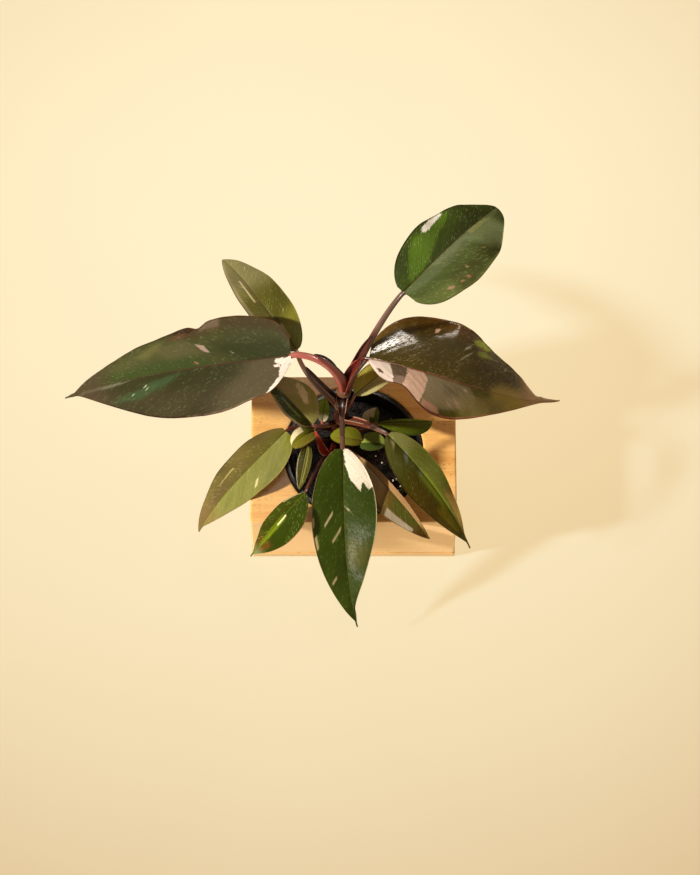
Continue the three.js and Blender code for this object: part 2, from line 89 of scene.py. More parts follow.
class Paint:
    # The node tree of a material or world being made
    def __init__(self, owner):
        self.owner = owner
        owner.use_nodes = True
        self.tree = owner.node_tree
        self.tree.nodes.clear()

    def node(self, kind, settings=None, inputs=None, output=0):
        made = self.tree.nodes.new(kind)
        for key, value in (settings or {}).items():
            setattr(made, key, value)
        for key, value in (inputs or {}).items():
            if isinstance(value, Wire):
                self.tree.links.new(value.socket, made.inputs[key])
            else:
                made.inputs[key].default_value = value
        return Wire(self, made.outputs[output]) if len(made.outputs) else None

    def vector(self, operation, inputs, output=0):
        return self.node("ShaderNodeVectorMath", {"operation": operation}, inputs, output)

    def split(self, vector):
        parts = self.node("ShaderNodeSeparateXYZ", {}, {0: vector})
        return parts, parts.output("Y"), parts.output("Z")

    def join(self, x, y, z):
        return self.node("ShaderNodeCombineXYZ", {}, {0: x, 1: y, 2: z})

    def uv(self, name):
        return self.split(self.node("ShaderNodeUVMap", {"uv_map": name}))[:2]

    def place(self):
        # place on the object, in centimetres
        at = self.node("ShaderNodeTexCoord", output="Object")
        return self.split(self.vector("SCALE", {0: at, "Scale": 100.0}))

    def noise(self, x, y, z, detail=2.0, rough=0.5):
        values = {"Vector": self.join(x, y, z), "Scale": 1.0, "Detail": detail, "Roughness": rough}
        return self.node("ShaderNodeTexNoise", {}, values)

    def cells(self, x, y, z):
        # distance to the nearest cell's middle, and a random number for each cell
        found = self.node("ShaderNodeTexVoronoi", {}, {"Vector": self.join(x, y, z), "Scale": 1.0})
        return found, self.node("ShaderNodeSeparateColor", {}, {0: found.output("Color")})

    def mix(self, first, second, share):
        # sockets 6, 7 and 2 are the colours of a Mix node
        values = {0: share, 6: first, 7: second}
        return self.node("ShaderNodeMix", {"data_type": "RGBA"}, values, output=2)

    def scaled(self, color, factor):
        color = color if isinstance(color, Wire) else color[:3]
        return self.vector("SCALE", {0: color, "Scale": factor})

    def insideOf(self, at, corners):
        # distance from the nearest side of a convex patch; at holds (along, aside, 1)
        corners = np.array(corners, float)
        middle = corners.mean(0)
        nearest = None
        for a, b in zip(corners, np.roll(corners, -1, axis=0)):
            across = np.array([a[1] - b[1], b[0] - a[0]]) / np.hypot(*(b - a))
            across = across if across @ (middle - a) > 0 else -across
            line = (*across, -across @ a)
            gap = self.vector("DOT_PRODUCT", {0: at, 1: line}, output=1)
            nearest = gap if nearest is None else gap.math("MINIMUM", nearest, gap)
        return nearest

    def bump(self, height, strength, distance):
        values = {"Height": height, "Strength": strength, "Distance": distance}
        return self.node("ShaderNodeBump", {}, values)

    def finish(self, color, roughness, normal=None, **constants):
        values = {"Base Color": color, "Roughness": roughness}
        values.update({key.replace("_", " "): value for key, value in constants.items()})
        if normal is not None:
            values["Normal"] = normal
        surface = self.node("ShaderNodeBsdfPrincipled", {}, values)
        self.node("ShaderNodeOutputMaterial", {}, {"Surface": surface})
        return self.owner


def newPaint(name):
    return Paint(bpy.data.materials.new(name))


# Mesh tools

def addPiece(name, points, faces, materials, faceMaterials=None, uvMaps=None):
    mesh = bpy.data.meshes.new(name)
    mesh.from_pydata((np.asarray(points) * mm).tolist(), [], [tuple(f) for f in faces])
    for material in materials:
        mesh.materials.append(material)
    if faceMaterials is not None:
        mesh.polygons.foreach_set("material_index", np.asarray(faceMaterials, np.int32))
    corner = np.zeros(len(mesh.loops), np.int32)
    mesh.loops.foreach_get("vertex_index", corner)
    for label, values in (uvMaps or {}).items():
        layer = mesh.uv_layers.new(name=label, do_init=False)
        layer.uv.foreach_set("vector", np.asarray(values, np.float32)[corner].ravel())
    mesh.polygons.foreach_set("use_smooth", np.ones(len(mesh.polygons), bool))
    mesh.validate()
    piece = bpy.data.objects.new(name, mesh)
    scene.collection.objects.link(piece)
    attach(piece, "root")
    return piece


def sharpen(piece, degrees):
    # smooth shading with crisp creases
    piece.data.set_sharp_from_angle(angle=np.radians(degrees))


def unit(v):
    return v / np.maximum(np.linalg.norm(v, axis=-1, keepdims=True), 1e-9)


def smoothStep(x, low, high):
    t = np.clip((x - low) / (high - low), 0, 1)
    return t * t * (3 - 2 * t)


def bezier(points, t):
    a, b, c, d = (np.asarray(p, float) for p in points)
    t = np.asarray(t, float)[..., None]
    at = (1 - t) ** 3 * a + 3 * (1 - t) ** 2 * t * b + 3 * (1 - t) * t * t * c + t ** 3 * d
    way = 3 * (1 - t) ** 2 * (b - a) + 6 * (1 - t) * t * (c - b) + 3 * t * t * (d - c)
    return at, unit(way)


def turned(v, axis, degrees):
    a = np.radians(degrees)
    return v * np.cos(a) + np.cross(axis, v) * np.sin(a) + axis * np.dot(axis, v) * (1 - np.cos(a))


def gridFaces(rows, columns, closed=False, start=0, flip=False):
    across = np.arange(columns if closed else columns - 1)
    i, j = np.meshgrid(np.arange(rows - 1), across, indexing="ij")
    a = start + i * columns + j
    b = start + i * columns + (j + 1) % columns
    quads = np.stack([a, b, b + columns, a + columns], -1).reshape(-1, 4)
    return quads[:, ::-1] if flip else quads


def tubeFaces(rows, count, start=0):
    # closed rings with a cap at each end
    last = start + (rows - 1) * count
    caps = [tuple(range(start, start + count))[::-1], tuple(range(last, last + count))]
    return gridFaces(rows, count, closed=True, start=start).tolist() + caps


def waves(x, y, seed, count, shortest, longest):
    # sum of plane waves with random directions, about -1 to 1
    rng = np.random.default_rng(seed)
    total = np.zeros(np.broadcast(x, y).shape)
    for _ in range(count):
        length = rng.uniform(shortest, longest)
        angle, phase = rng.uniform(0, 2 * np.pi, 2)
        total += np.sin(2 * np.pi * (x * np.cos(angle) + y * np.sin(angle)) / length + phase)
    return total / np.sqrt(count)


# Camera, lights and floor

view = {"target": (-2.6, 0.7, 100), "distance": 2352, "elevation": 69.35, "lens": 131.66, "sensor": 36}


def makeCamera():
    data = bpy.data.cameras.new("camera")
    data.lens = view["lens"]
    data.sensor_width = view["sensor"]
    data.clip_end = 100
    camera = bpy.data.objects.new("camera", data)
    angle = np.radians(view["elevation"])
    back = Vector((0, -np.cos(angle), np.sin(angle)))
    camera.location = (Vector(view["target"]) + back * view["distance"]) * mm
    camera.rotation_euler = (-back).to_track_quat("-Z", "Y").to_euler()
    scene.collection.objects.link(camera)
    scene.camera = camera


# floorLightFalloff: how fast the floor's painted glow, a painted light falloff, darkens along X and Y,
# for each square centimetre
studio = {
    "floorGlowNear": "f1d8a8", "floorGlowFar": "cba264", "floorShade": "5f737a", "floorSize": 12000,
    "floorMiddle": (-50, 190), "floorLightFalloff": (2.7e-4, 3.1e-4),
    "keyFrom": (-0.855, -0.172, 0.483), "keyPower": 5.3, "keyTone": "fffaf2", "keySpread": 4.5,
    "skyTone": "ffe6c0", "skyTop": 0.15, "skyLow": 1.1, "panelTone": "fff4e6", "lampDistance": 2000,
}
# soft panels that only show in gloss: direction from the plant, half angle, radiance
panels = {
    "topPanel": ((0.13, 0.26, 0.95), 8, 36),
    "middlePanel": ((0.28, 0.38, 0.88), 8, 19),
    "backPanel": ((0.38, 0.63, 0.68), 8, 11),
    "frontPanel": ((-0.06, -0.9, 0.43), 7, 11),
    "leftPanel": ((-0.72, 0.2, 0.66), 14, 2.5),
}


def makeSky():
    # soft light from all round, brighter towards the horizon, as in a paper sweep
    world = bpy.data.worlds.new("paperSweep")
    paint = Paint(world)
    at = paint.node("ShaderNodeTexCoord", output="Generated")
    low = 1 - paint.split(at)[2]
    power = low * low * (studio["skyLow"] - studio["skyTop"]) + studio["skyTop"]
    glow = paint.node("ShaderNodeBackground", {}, {"Color": tint(studio["skyTone"]), "Strength": power})
    paint.node("ShaderNodeOutputWorld", {}, {"Surface": glow})
    scene.world = world


def aimLamp(name, data, direction):
    lamp = bpy.data.objects.new(name, data)
    lamp.location = Vector(direction) * (studio["lampDistance"] * mm)
    lamp.rotation_euler = Vector(direction).to_track_quat("Z", "Y").to_euler()
    scene.collection.objects.link(lamp)
    return lamp


def makeLights():
    key = bpy.data.lights.new("keyLight", "SUN")
    key.energy = studio["keyPower"]
    key.color = tint(studio["keyTone"])[:3]
    key.angle = np.radians(studio["keySpread"])
    aimLamp("keyLight", key, studio["keyFrom"]).visible_glossy = False
    for name, (direction, halfAngle, radiance) in panels.items():
        data = bpy.data.lights.new(name, "AREA")
        data.shape = "DISK"
        data.size = 2 * (studio["lampDistance"] * mm) * np.tan(np.radians(halfAngle))
        data.energy = radiance * np.pi * np.pi * (data.size / 2) ** 2
        data.color = tint(studio["panelTone"])[:3]
        aimLamp(name, data, direction).visible_diffuse = False


def floorPaint():
    # the paper glows: painted light that keeps shadows on it faint, brightest near the plant and
    # darkening away from it as a painted light falloff
    paint = newPaint("floorPaper")
    x, y, z = paint.place()
    mottle = paint.noise(x * 0.05, y * 0.05, z, 2.0)
    fibre = paint.noise(x * 20, y * 20, z, 2.0)
    right, back = x - studio["floorMiddle"][0] / 10, y - studio["floorMiddle"][1] / 10
    fadeX, fadeY = studio["floorLightFalloff"]
    fade = right * right * fadeX + back * back * fadeY + (mottle - 0.5) * 0.12
    fade = fade.math("MINIMUM", fade, 1.0)
    glow = paint.mix(tint(studio["floorGlowNear"]), tint(studio["floorGlowFar"]), fade)
    bump = paint.bump(fibre, 0.05, 0.0002)
    shade = tint(studio["floorShade"])
    return paint.finish(shade, 0.9, bump, Emission_Color=glow, Emission_Strength=1.0)


def makeFloor():
    side = studio["floorSize"] / 2
    corners = [(-side, -side, 0), (side, -side, 0), (side, side, 0), (-side, side, 0)]
    mesh = bpy.data.meshes.new("floor")
    mesh.from_pydata([(x * mm, y * mm, z * mm) for x, y, z in corners], [], [(0, 1, 2, 3)])
    mesh.materials.append(floorPaint())
    floor = bpy.data.objects.new("floor", mesh)
    scene.collection.objects.link(floor)


# Wooden block and base board

wood = {
    "width": 152, "depth": 115, "boardTop": 8, "top": 78, "overhang": 0.5, "corner": 1.2, "ease": 0.9,
    "holeRadius": 52, "holeY": -2, "around": 288, "topRings": 14, "wallRings": 6, "wear": 0.12,
    "light": "fcc676", "dark": "eaa856", "grain": "6e4018", "endGrain": "c08a4a", "sawnAndSheen": "fcdcb0",
    "boardShade": 0.84, "knotAt": (71, -12), "crease": 35,
}


def woodPaint(name, seed, shade):
    # long fibres run along X, growth bands wander across Y, short dark pores lie along the fibres
    paint = newPaint(name)
    x, y, z = paint.place()
    wander = paint.noise(x * 0.12, y * 0.35, z * 0.35 + seed, 3.0)
    bands = paint.noise(x * 0.05, (y + wander * 1.4) * 2.2, z * 2.2 + seed, 3.0, 0.6)
    fibres = paint.noise(x * 1.6, (y + wander * 0.6) * 26, z * 26 + seed, 4.0, 0.65)
    pores, chance = paint.cells(x * 2.2, (y + wander * 0.6) * 17, z * 17 + seed)
    pore = pores.ease(0.42, 0.12) * chance.ease(0.6, 0.72)
    blotch = paint.noise(x * 0.3, y * 0.8, z * 0.8 + seed, 2.0)
    color = paint.mix(tint(wood["light"]), tint(wood["dark"]), bands.ease(0.35, 0.8))
    color = paint.scaled(color, fibres.ease(0.25, 0.75) * 0.24 + 0.86)
    color = paint.mix(color, tint(wood["grain"]), pore * blotch.ease(0.38, 0.6) * 0.75)
    right, back = x - wood["knotAt"][0] / 10, y - wood["knotAt"][1] / 10
    knot = (right * right * 1.6 + back * back * 30).ease(0.05, 0.0)
    color = paint.mix(color, tint(wood["grain"]), knot * 0.8)
    turned = paint.split(paint.node("ShaderNodeNewGeometry", output="Normal"))
    rings = paint.noise(y * 5, z * 2.2 + seed, 0.0, 3.0)
    ends = paint.scaled(tint(wood["endGrain"]), rings * 0.5 + 0.75)
    color = paint.mix(color, ends, abs(turned[0]).ease(0.7, 0.95))
    # front and back faces take a paler tone: partly the sawn faces' own colour, partly a painted sheen
    color = paint.mix(color, tint(wood["sawnAndSheen"]), abs(turned[1]).ease(0.7, 0.95) * 0.7)
    color = paint.scaled(color, shade)
    bump = paint.bump(fibres * 0.5 - pore * 0.5, 0.25, 0.0004)
    return paint.finish(color, fibres * 0.2 + 0.45, bump, Specular_IOR_Level=0.3)


def boxOutline(width, depth, corner, angles):
    # point on a rounded rectangle in each direction, by bisection on its signed distance
    way = np.stack([np.cos(angles), np.sin(angles)], -1)
    half = np.array([width, depth]) / 2 - corner
    near, far = np.zeros(len(angles)), np.full(len(angles), width + depth)
    for _ in range(40):
        middle = (near + far) / 2
        past = np.abs(way * middle[:, None]) - half
        outside = np.linalg.norm(np.maximum(past, 0), axis=1) + np.minimum(past.max(1), 0) > corner
        near, far = np.where(outside, near, middle), np.where(outside, middle, far)
    return way * near[:, None]


def woodAngles(width, depth):
    # directions that fall evenly on the outline, with extra ones at the corners
    even = np.linspace(0, 2 * np.pi, wood["around"], endpoint=False)
    corner = np.arctan2(depth, width)
    close = np.concatenate([np.linspace(-0.022, 0.022, 9) + c for c in (corner, np.pi - corner)])
    return np.unique(np.round(np.concatenate([even, close, close + np.pi]) % (2 * np.pi), 5))


def makeBlock():
    ease, radius, top, foot = wood["ease"], wood["holeRadius"], wood["top"], wood["boardTop"]
    angles = woodAngles(wood["width"], wood["depth"])
    outer = boxOutline(wood["width"], wood["depth"], wood["corner"], angles)
    inner = np.stack([radius * np.cos(angles), wood["holeY"] + radius * np.sin(angles)], -1)
    quarter = np.linspace(0, np.pi / 2, 4)
    ring = []  # share of the way from the hole to the outline, offset outward, height
    ring += [(0, 0, z) for z in np.linspace(foot, top - ease, wood["wallRings"])]
    ring += [(0, ease * (1 - np.cos(a)), top - ease + ease * np.sin(a)) for a in quarter[1:]]
    ring += [(s, 0, top) for s in np.linspace(0, 1, wood["topRings"])[1:-1]]
    ring += [(1, -ease * (1 - np.sin(a)), top - ease * (1 - np.cos(a))) for a in quarter]
    ring += [(1, 0, z) for z in np.linspace(top - ease, foot + ease, wood["wallRings"])[1:]]
    ring += [(1, -ease * (1 - np.cos(a)), foot + ease - ease * np.sin(a)) for a in quarter[1:]]
    rows = []
    away = unit(outer - inner)
    for share, offset, z in ring:
        flat = inner + (outer - inner) * share + away * offset
        rows.append(np.concatenate([flat, np.full((len(angles), 1), z)], 1))
    points = np.stack(rows)
    worn = waves(points[..., 0] + points[..., 2], points[..., 1], 5, 12, 6, 30) * wood["wear"]
    onEdge = [abs(offset) > 0 or share == 1 and z > top - 0.01 for share, offset, z in ring]
    points[..., 2] -= np.abs(worn) * np.array(onEdge, float)[:, None]
    count = len(angles)
    faces = gridFaces(len(ring), count, closed=True, flip=True)
    last = (len(ring) - 1) * count
    closing = [(last + k, last + (k + 1) % count, (k + 1) % count, k) for k in range(count)]
    faces = [*faces.tolist(), *[face[::-1] for face in closing]]
    paint = woodPaint("blockWood", 3.0, 1.0)
    piece = addPiece("block_wood_fine", points.reshape(-1, 3), faces, [paint])
    sharpen(piece, wood["crease"])
    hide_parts("planter_block")


def makeBoard():
    width, depth = wood["width"] + 2 * wood["overhang"], wood["depth"] + 2 * wood["overhang"]
    top, ease = wood["boardTop"], wood["ease"]
    angles = woodAngles(width, depth)
    outline = boxOutline(width, depth, wood["corner"], angles)
    quarter = np.linspace(0, np.pi / 2, 4)
    ring = [(ease * (1 - np.sin(a)), ease * (1 - np.cos(a))) for a in quarter]
    ring += [(ease * (1 - np.cos(a)), top - ease + ease * np.sin(a)) for a in quarter]
    points = np.concatenate([
        np.concatenate([outline - unit(outline) * inset, np.full((len(angles), 1), z)], 1)
        for inset, z in ring
    ])
    count = len(angles)
    faces = gridFaces(len(ring), count, closed=True).tolist()
    last = (len(ring) - 1) * count
    points = np.concatenate([points, [[0, 0, 0], [0, 0, top]]])
    faces += [(len(points) - 2, (k + 1) % count, k) for k in range(count)]
    faces += [(len(points) - 1, last + k, last + (k + 1) % count) for k in range(count)]
    paint = woodPaint("boardWood", 11.0, wood["boardShade"])
    piece = addPiece("board_wood_fine", points, faces, [paint])
    sharpen(piece, wood["crease"])
    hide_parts("base_board")


# Nursery pot

pot = {
    "floorRadius": 40, "topRadius": 49.3, "wall": 1.2, "floor": 1.8, "footRecess": 1.5, "footWidth": 3,
    "rimTop": 77, "rimDrop": 7, "rimRadius": 51.4, "sides": 144, "drainCount": 6, "drainRadius": 4,
    "drainCircle": 25, "drainReach": (0.4, 5), "foot": 8, "lip": 0.7, "crease": 40,
    "tone": "0b0b0b", "dustTone": "2b2119",
}


def potPaint():
    paint = newPaint("potPlastic")
    x, y, z = paint.place()
    grain = paint.noise(x * 60, y * 60, z * 60, 2.0)
    dust = paint.noise(x * 2.5, y * 2.5, z * 4, 4.0, 0.65).ease(0.52, 0.75)
    color = paint.mix(tint(pot["tone"]), tint(pot["dustTone"]), dust * 0.5)
    return paint.finish(color, dust * 0.3 + 0.38, paint.bump(grain, 0.12, 0.0002))


def potRadius(z):
    share = (z - pot["foot"]) / (pot["rimTop"] - pot["foot"])
    return pot["floorRadius"] + (pot["topRadius"] - pot["floorRadius"]) * share


def circleRow(radius, z, angles):
    # ring of points round the axis of the pot
    x, y = radius * np.cos(angles), wood["holeY"] + radius * np.sin(angles)
    return np.stack([x, y, np.full(len(angles), z)], -1)


def makePot():
    foot, rimTop, rim, lip = pot["foot"], pot["rimTop"], pot["rimRadius"], pot["lip"]
    rimFoot, footTop = rimTop - pot["rimDrop"], foot + pot["footRecess"]
    footOuter, footInner = pot["floorRadius"], pot["floorRadius"] - pot["footWidth"]
    floorTop = footTop + pot["floor"]
    innerTop = potRadius(rimTop) - pot["wall"]
    profile = [
        (0.5, footTop), (footInner, footTop), (footInner + 0.3, foot), (footOuter - 0.4, foot),
        (footOuter, foot + 0.5), (potRadius(30), 30), (potRadius(50), 50),
        (potRadius(rimFoot) - 0.1, rimFoot), (rim - 0.5, rimFoot), (rim - 0.2, rimFoot + 0.4),
        (rim, rimTop - lip), (rim - 0.2, rimTop - 0.2), (rim - lip, rimTop), (innerTop + 0.4, rimTop),
        (innerTop, rimTop - 0.5), (innerTop - 0.3, rimTop - 4), (potRadius(rimFoot) - 1.6, rimFoot),
        (potRadius(50) - pot["wall"], 50), (potRadius(30) - pot["wall"], 30),
        (potRadius(floorTop) - pot["wall"] - 1, floorTop + 0.2), (0.5, floorTop),
    ]
    angles = np.linspace(0, 2 * np.pi, pot["sides"], endpoint=False)
    points = np.concatenate([circleRow(r, z, angles) for r, z in profile])
    faces = tubeFaces(len(profile), len(angles))
    piece = addPiece("nursery_pot_fine", points, faces, [potPaint()])
    drillDrains(piece)
    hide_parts("nursery_pot")


def drillDrains(piece):
    turn = np.linspace(0, 2 * np.pi, pot["drainCount"], endpoint=False)
    ring = np.linspace(0, 2 * np.pi, 24, endpoint=False)
    points, faces = [], []
    for angle in turn:
        x, y = pot["drainCircle"] * np.cos(angle), pot["drainCircle"] * np.sin(angle)
        faces += tubeFaces(2, len(ring), start=len(points))
        for rise in pot["drainReach"]:
            points += [*(circleRow(pot["drainRadius"], pot["foot"] + rise, ring) + (x, y, 0))]
    drill = addPiece("drainDrill", points, faces, [])
    hole = piece.modifiers.new("drains", "BOOLEAN")
    hole.operation = "DIFFERENCE"
    hole.solver = "EXACT"
    hole.object = drill
    applyModifiers(piece)
    bpy.data.objects.remove(drill)
    sharpen(piece, pot["crease"])


def applyModifiers(piece):
    seen = bpy.context.evaluated_depsgraph_get()
    mesh = bpy.data.meshes.new_from_object(piece.evaluated_get(seen))
    old = piece.data
    piece.modifiers.clear()
    piece.data = mesh
    bpy.data.meshes.remove(old)


# Soil with crumbs, perlite, bark and moss on it

# clods: seed, count, shortest, longest and height of the waves in its surface
soil = {
    "level": 63, "lump": 1.6, "dome": 1.5, "bottom": 11.3, "clearance": 0.45, "rings": 150,
    "around": 240, "clodHeight": 0.9, "clods": [(21, 40, 2.2, 6, 0.45), (22, 20, 6, 14, 0.4)],
    "tone": "1a100a", "damp": "0c0705", "fibreTone": "4a2c16",
}
# sizes: smallest and largest; splits: fineness; spread: how far over the soil they lie.
# Shares of a lump's size: rise, its middle above the soil; flat, its least height; dents
lumps = {
    "soil_crumbs": dict(
        skin="soilCrumb", tones=("2a1a10", "120a06"), rough=0.85,
        count=1500, sizes=(0.5, 1.5), seed=61, splits=1, rise=0.2, flat=0.5, dents=0.35, spread=0.96,
    ),
    "perlite_bits": dict(
        skin="perlite", tones=("cfc4ae", "9a8f7c"), rough=0.8,
        count=130, sizes=(0.35, 1.0), seed=62, splits=2, rise=0.3, flat=0.7, dents=0.35, spread=0.96,
    ),
}


def soilPaint():
    paint = newPaint("soilMix")
    x, y, z = paint.place()
    clods = paint.noise(x * 6, y * 6, z * 6, 4.0, 0.65)
    fine = paint.noise(x * 45, y * 45, z * 45, 3.0, 0.6)
    fibre, chance = paint.cells(x * 9, y * 4, z * 9)
    color = paint.mix(tint(soil["damp"]), tint(soil["tone"]), clods.ease(0.35, 0.7))
    color = paint.mix(color, tint(soil["fibreTone"]), fibre.ease(0.2, 0.08) * chance.ease(0.8, 0.85))
    return paint.finish(color, fine * 0.3 + 0.55, paint.bump(clods + fine * 0.6, 0.6, 0.0008))


def chipPaint(name, tones, rough):
    paint = newPaint(name)
    x, y, z = paint.place()
    grain = paint.noise(x * 12, y * 30, z * 30, 3.0, 0.6)
    color = paint.mix(tint(tones[1]), tint(tones[0]), grain.ease(0.3, 0.7))
    return paint.finish(color, rough, paint.bump(grain, 0.5, 0.0004))


def soilEdge(z):
    # radius of the soil at a height
    return potRadius(z) - pot["wall"] - soil["clearance"]


def soilHeight(x, y):
    away = np.hypot(x, y - wood["holeY"]) / pot["topRadius"]
    swell = np.sin(0.23 * x + 1.3) * np.sin(0.19 * y) + 0.6 * np.sin(0.41 * x - 0.37 * y + 2)
    return soil["level"] + soil["dome"] * (1 - away ** 2) + soil["lump"] * swell * (1 - away ** 4)


def soilTop(x, y):
    clods = sum(waves(x, y, *wave) * height for *wave, height in soil["clods"])
    return soilHeight(x, y) + soil["clodHeight"] * clods


def soilAt(x, y):
    return float(soilTop(np.array([x]), np.array([y]))[0])


def makeSoil():
    angles = np.linspace(0, 2 * np.pi, soil["around"], endpoint=False)
    rows = []
    for z in np.linspace(soil["bottom"], soil["level"] - 2, 8):
        rows.append(circleRow(soilEdge(z), z, angles))
    for share in np.linspace(1, 0.004, soil["rings"]):
        row = circleRow(soilEdge(soil["level"]) * share, 0, angles)
        row[:, 2] = soilTop(row[:, 0], row[:, 1])
        rows.append(row)
    faces = tubeFaces(len(rows), len(angles))
    piece = addPiece("soil_fine", np.concatenate(rows), faces, [soilPaint()])
    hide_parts("soil")


def lumpShape(splits):
    # unit ball made by splitting an octahedron's faces
    points = [(1, 0, 0), (-1, 0, 0), (0, 1, 0), (0, -1, 0), (0, 0, 1), (0, 0, -1)]
    faces = [(0, 2, 4), (2, 1, 4), (1, 3, 4), (3, 0, 4), (2, 0, 5), (1, 2, 5), (3, 1, 5), (0, 3, 5)]
    for _ in range(splits):
        middles, finer = {}, []
        for a, b, c in faces:
            spots = []
            for pair in ((a, b), (b, c), (c, a)):
                key = tuple(sorted(pair))
                if key not in middles:
                    middles[key] = len(points)
                    points.append(tuple((np.array(points[key[0]]) + np.array(points[key[1]])) / 2))
                spots.append(middles[key])
            ab, bc, ca = spots
            finer += [(a, ab, ca), (ab, b, bc), (ca, bc, c), (ab, bc, ca)]
        faces = finer
    return unit(np.array(points, float)), np.array(faces)


def scatterLumps(name, skin, tones, rough, count, sizes, seed, splits, rise, flat, dents, spread):
    # irregular lumps lying on the soil, as one piece
    rng = np.random.default_rng(seed)
    ball, faces = lumpShape(splits)
    allPoints, allFaces = [], []
    reach = soilEdge(soil["level"]) * spread
    for k in range(count):
        away, angle = reach * np.sqrt(rng.random()), rng.uniform(0, 2 * np.pi)
        x, y = away * np.cos(angle), wood["holeY"] + away * np.sin(angle)
        size = sizes[0] + (sizes[1] - sizes[0]) * rng.random() ** 3
        bumps = waves(ball[:, 0] * 2, ball[:, 1] * 2 + ball[:, 2], rng.integers(1e6), 5, 1.5, 4)
        shape = ball * (1 + dents * bumps)[:, None]
        spin = unit(rng.normal(size=3))
        shape = np.stack([turned(p, spin, rng.uniform(0, 0.01) + k * 37 % 360) for p in shape])
        shape *= size * np.array([1, rng.uniform(0.6, 1), rng.uniform(flat, 1)])
        allFaces.append(faces + len(ball) * k)
        allPoints.append(shape + (x, y, soilAt(x, y) + size * rise))
    points, faces = np.concatenate(allPoints), np.concatenate(allFaces).tolist()
    piece = addPiece(name, points, faces, [chipPaint(skin, tones, rough)])


# at: place and size of each chip; form: its length, width and height as shares of the size
bark = {
    "at": [((27.5, -24.5), 5.5), ((-31, 26), 3.5), ((30, 17), 3.2), ((5, 38), 3.0), ((-38, 2), 2.6)],
    "form": (1.1, 0.75, 0.32), "square": 0.45, "dents": 0.25, "tilt": 14, "rise": 0.1, "seed": 31,
    "tones": ("8a3d1a", "3a1a0c"), "rough": 0.7,
}


def makeBark():
    rng = np.random.default_rng(bark["seed"])
    ball, faces = lumpShape(3)
    square = np.sign(ball) * np.abs(ball) ** bark["square"]
    axis = np.array([1.0, 0, 0])
    points, chips = [], []
    for k, ((x, y), size) in enumerate(bark["at"]):
        shape = square * (size / 2 * np.array(bark["form"]))
        dents = waves(ball[:, 0] * 3, ball[:, 1] * 3, 40 + k, 6, 0.8, 2)
        shape += ball * bark["dents"] * dents[:, None]
        spin = rng.uniform(0, 180)
        shape = np.stack([turned(turned(p, upward, spin), axis, bark["tilt"]) for p in shape])
        points.append(shape + (x, y, soilAt(x, y) + size * bark["rise"]))
        chips.append(faces + len(ball) * k)
    material = chipPaint("barkChip", bark["tones"], bark["rough"])
    piece = addPiece("bark_chips", np.concatenate(points), np.concatenate(chips).tolist(), [material])


moss = {
    "at": [(30, -36), (34, -29), (26, -40)], "spread": (1.8, 1.6), "leaflets": 60, "sink": 0.2,
    "halfWidth": 0.22, "thick": 0.18, "lean": (0.3, 1.2), "height": (0.7, 1.6), "seed": 33,
    "tones": ("8c8f4c", "4c5424"), "rough": 0.6,
}


def makeMoss():
    # tufts of short pointed leaflets, each a thin closed wedge
    rng = np.random.default_rng(moss["seed"])
    points, faces = [], []
    for cx, cy in moss["at"]:
        for _ in range(moss["leaflets"]):
            x, y = cx + rng.normal(0, moss["spread"][0]), cy + rng.normal(0, moss["spread"][1])
            base = np.array([x, y, soilAt(x, y) - moss["sink"]])
            turn = rng.uniform(0, 2 * np.pi)
            out = np.array([np.cos(turn), np.sin(turn), 0])
            side = np.array([-out[1], out[0], 0]) * moss["halfWidth"]
            tip = base + out * rng.uniform(*moss["lean"]) + upward * rng.uniform(*moss["height"])
            start = len(points)
            points += [base - side, base + side, base + out * moss["thick"], tip]
            faces += [(start, start + 2, start + 1), (start, start + 1, start + 3)]
            faces += [(start + 1, start + 2, start + 3), (start + 2, start, start + 3)]
    material = chipPaint("mossGreen", moss["tones"], moss["rough"])
    piece = addPiece("moss_tufts", np.array(points), faces, [material])


# Tubes with a channel and two wings, for stalks and sheaths

tubeSides = 13  # points along half of a section


def wingedTube(at, tangent, facing, halfWidth, depth, channel, lift):
    # one closed ring at each place, from the right wing under to the left one and back on top;
    # channel is the height of the upper face: like depth it is round, and below 0 a trough
    normal = unit(facing - tangent * np.sum(facing * tangent, -1, keepdims=True))
    side = unit(np.cross(normal, tangent))
    lower = np.linspace(0, np.pi, tubeSides)
    angle = np.concatenate([lower, lower[::-1][1:-1]])
    across = np.cos(angle)
    rise = np.where(np.arange(len(angle)) < len(lower), -1.0, 1.0) * np.sin(angle)
    rows, edge, over = [], [], []
    for k in range(len(at)):
        height = np.where(rise < 0, depth[k] * rise, channel[k] * rise)
        height = height + lift[k] * np.abs(across) ** 2.5
        rows.append(at[k] + side[k] * (halfWidth[k] * across)[:, None] + normal[k] * height[:, None])
        edge.append(np.abs(across) * smoothStep(lift[k], 0.15, 1.2))
        over.append(rise)
    return np.stack(rows), np.stack(edge), np.stack(over)


# Leaves: the same outlines as the solids, drawn finer, with veins, waves and a round edge.
# Of two values the first is for the half on the left, looking from base to tip. A side is 1 for
# that half, -1 for the other and 0 for both. Places lie along the midrib and aside of it, left is +.

veinSlant = 1.15  # how far a vein leans to the tip for each millimetre out


def band(side, span, across, color, slant=veinSlant, soft=0.8, rag=0.6, strength=1):
    # stripe from and to along the midrib, and over a share of the half width
    return dict(side=side, span=span, across=across, color=color, slant=slant, soft=soft, rag=rag,
                strength=strength)


def patch(shape, color, soft=0.5, rag=0.5, spray=3, strength=1):
    # convex patch; rag and spray make its border ragged
    return dict(shape=shape, color=color, soft=soft, rag=rag, spray=spray, strength=strength)


def fleck(spot, size, color, **border):
    # six-sided patch that lies along the veins
    long, wide = size
    way = unit(np.array([veinSlant, np.sign(spot[1])]))
    aslant = np.array([-way[1], way[0]])
    half = [way * long / 2, (way * 0.5 + aslant * wide / long * 0.8) * long / 2, aslant * wide / 2]
    return patch([spot + step for step in (*half, *(-step for step in half))], color, **border)


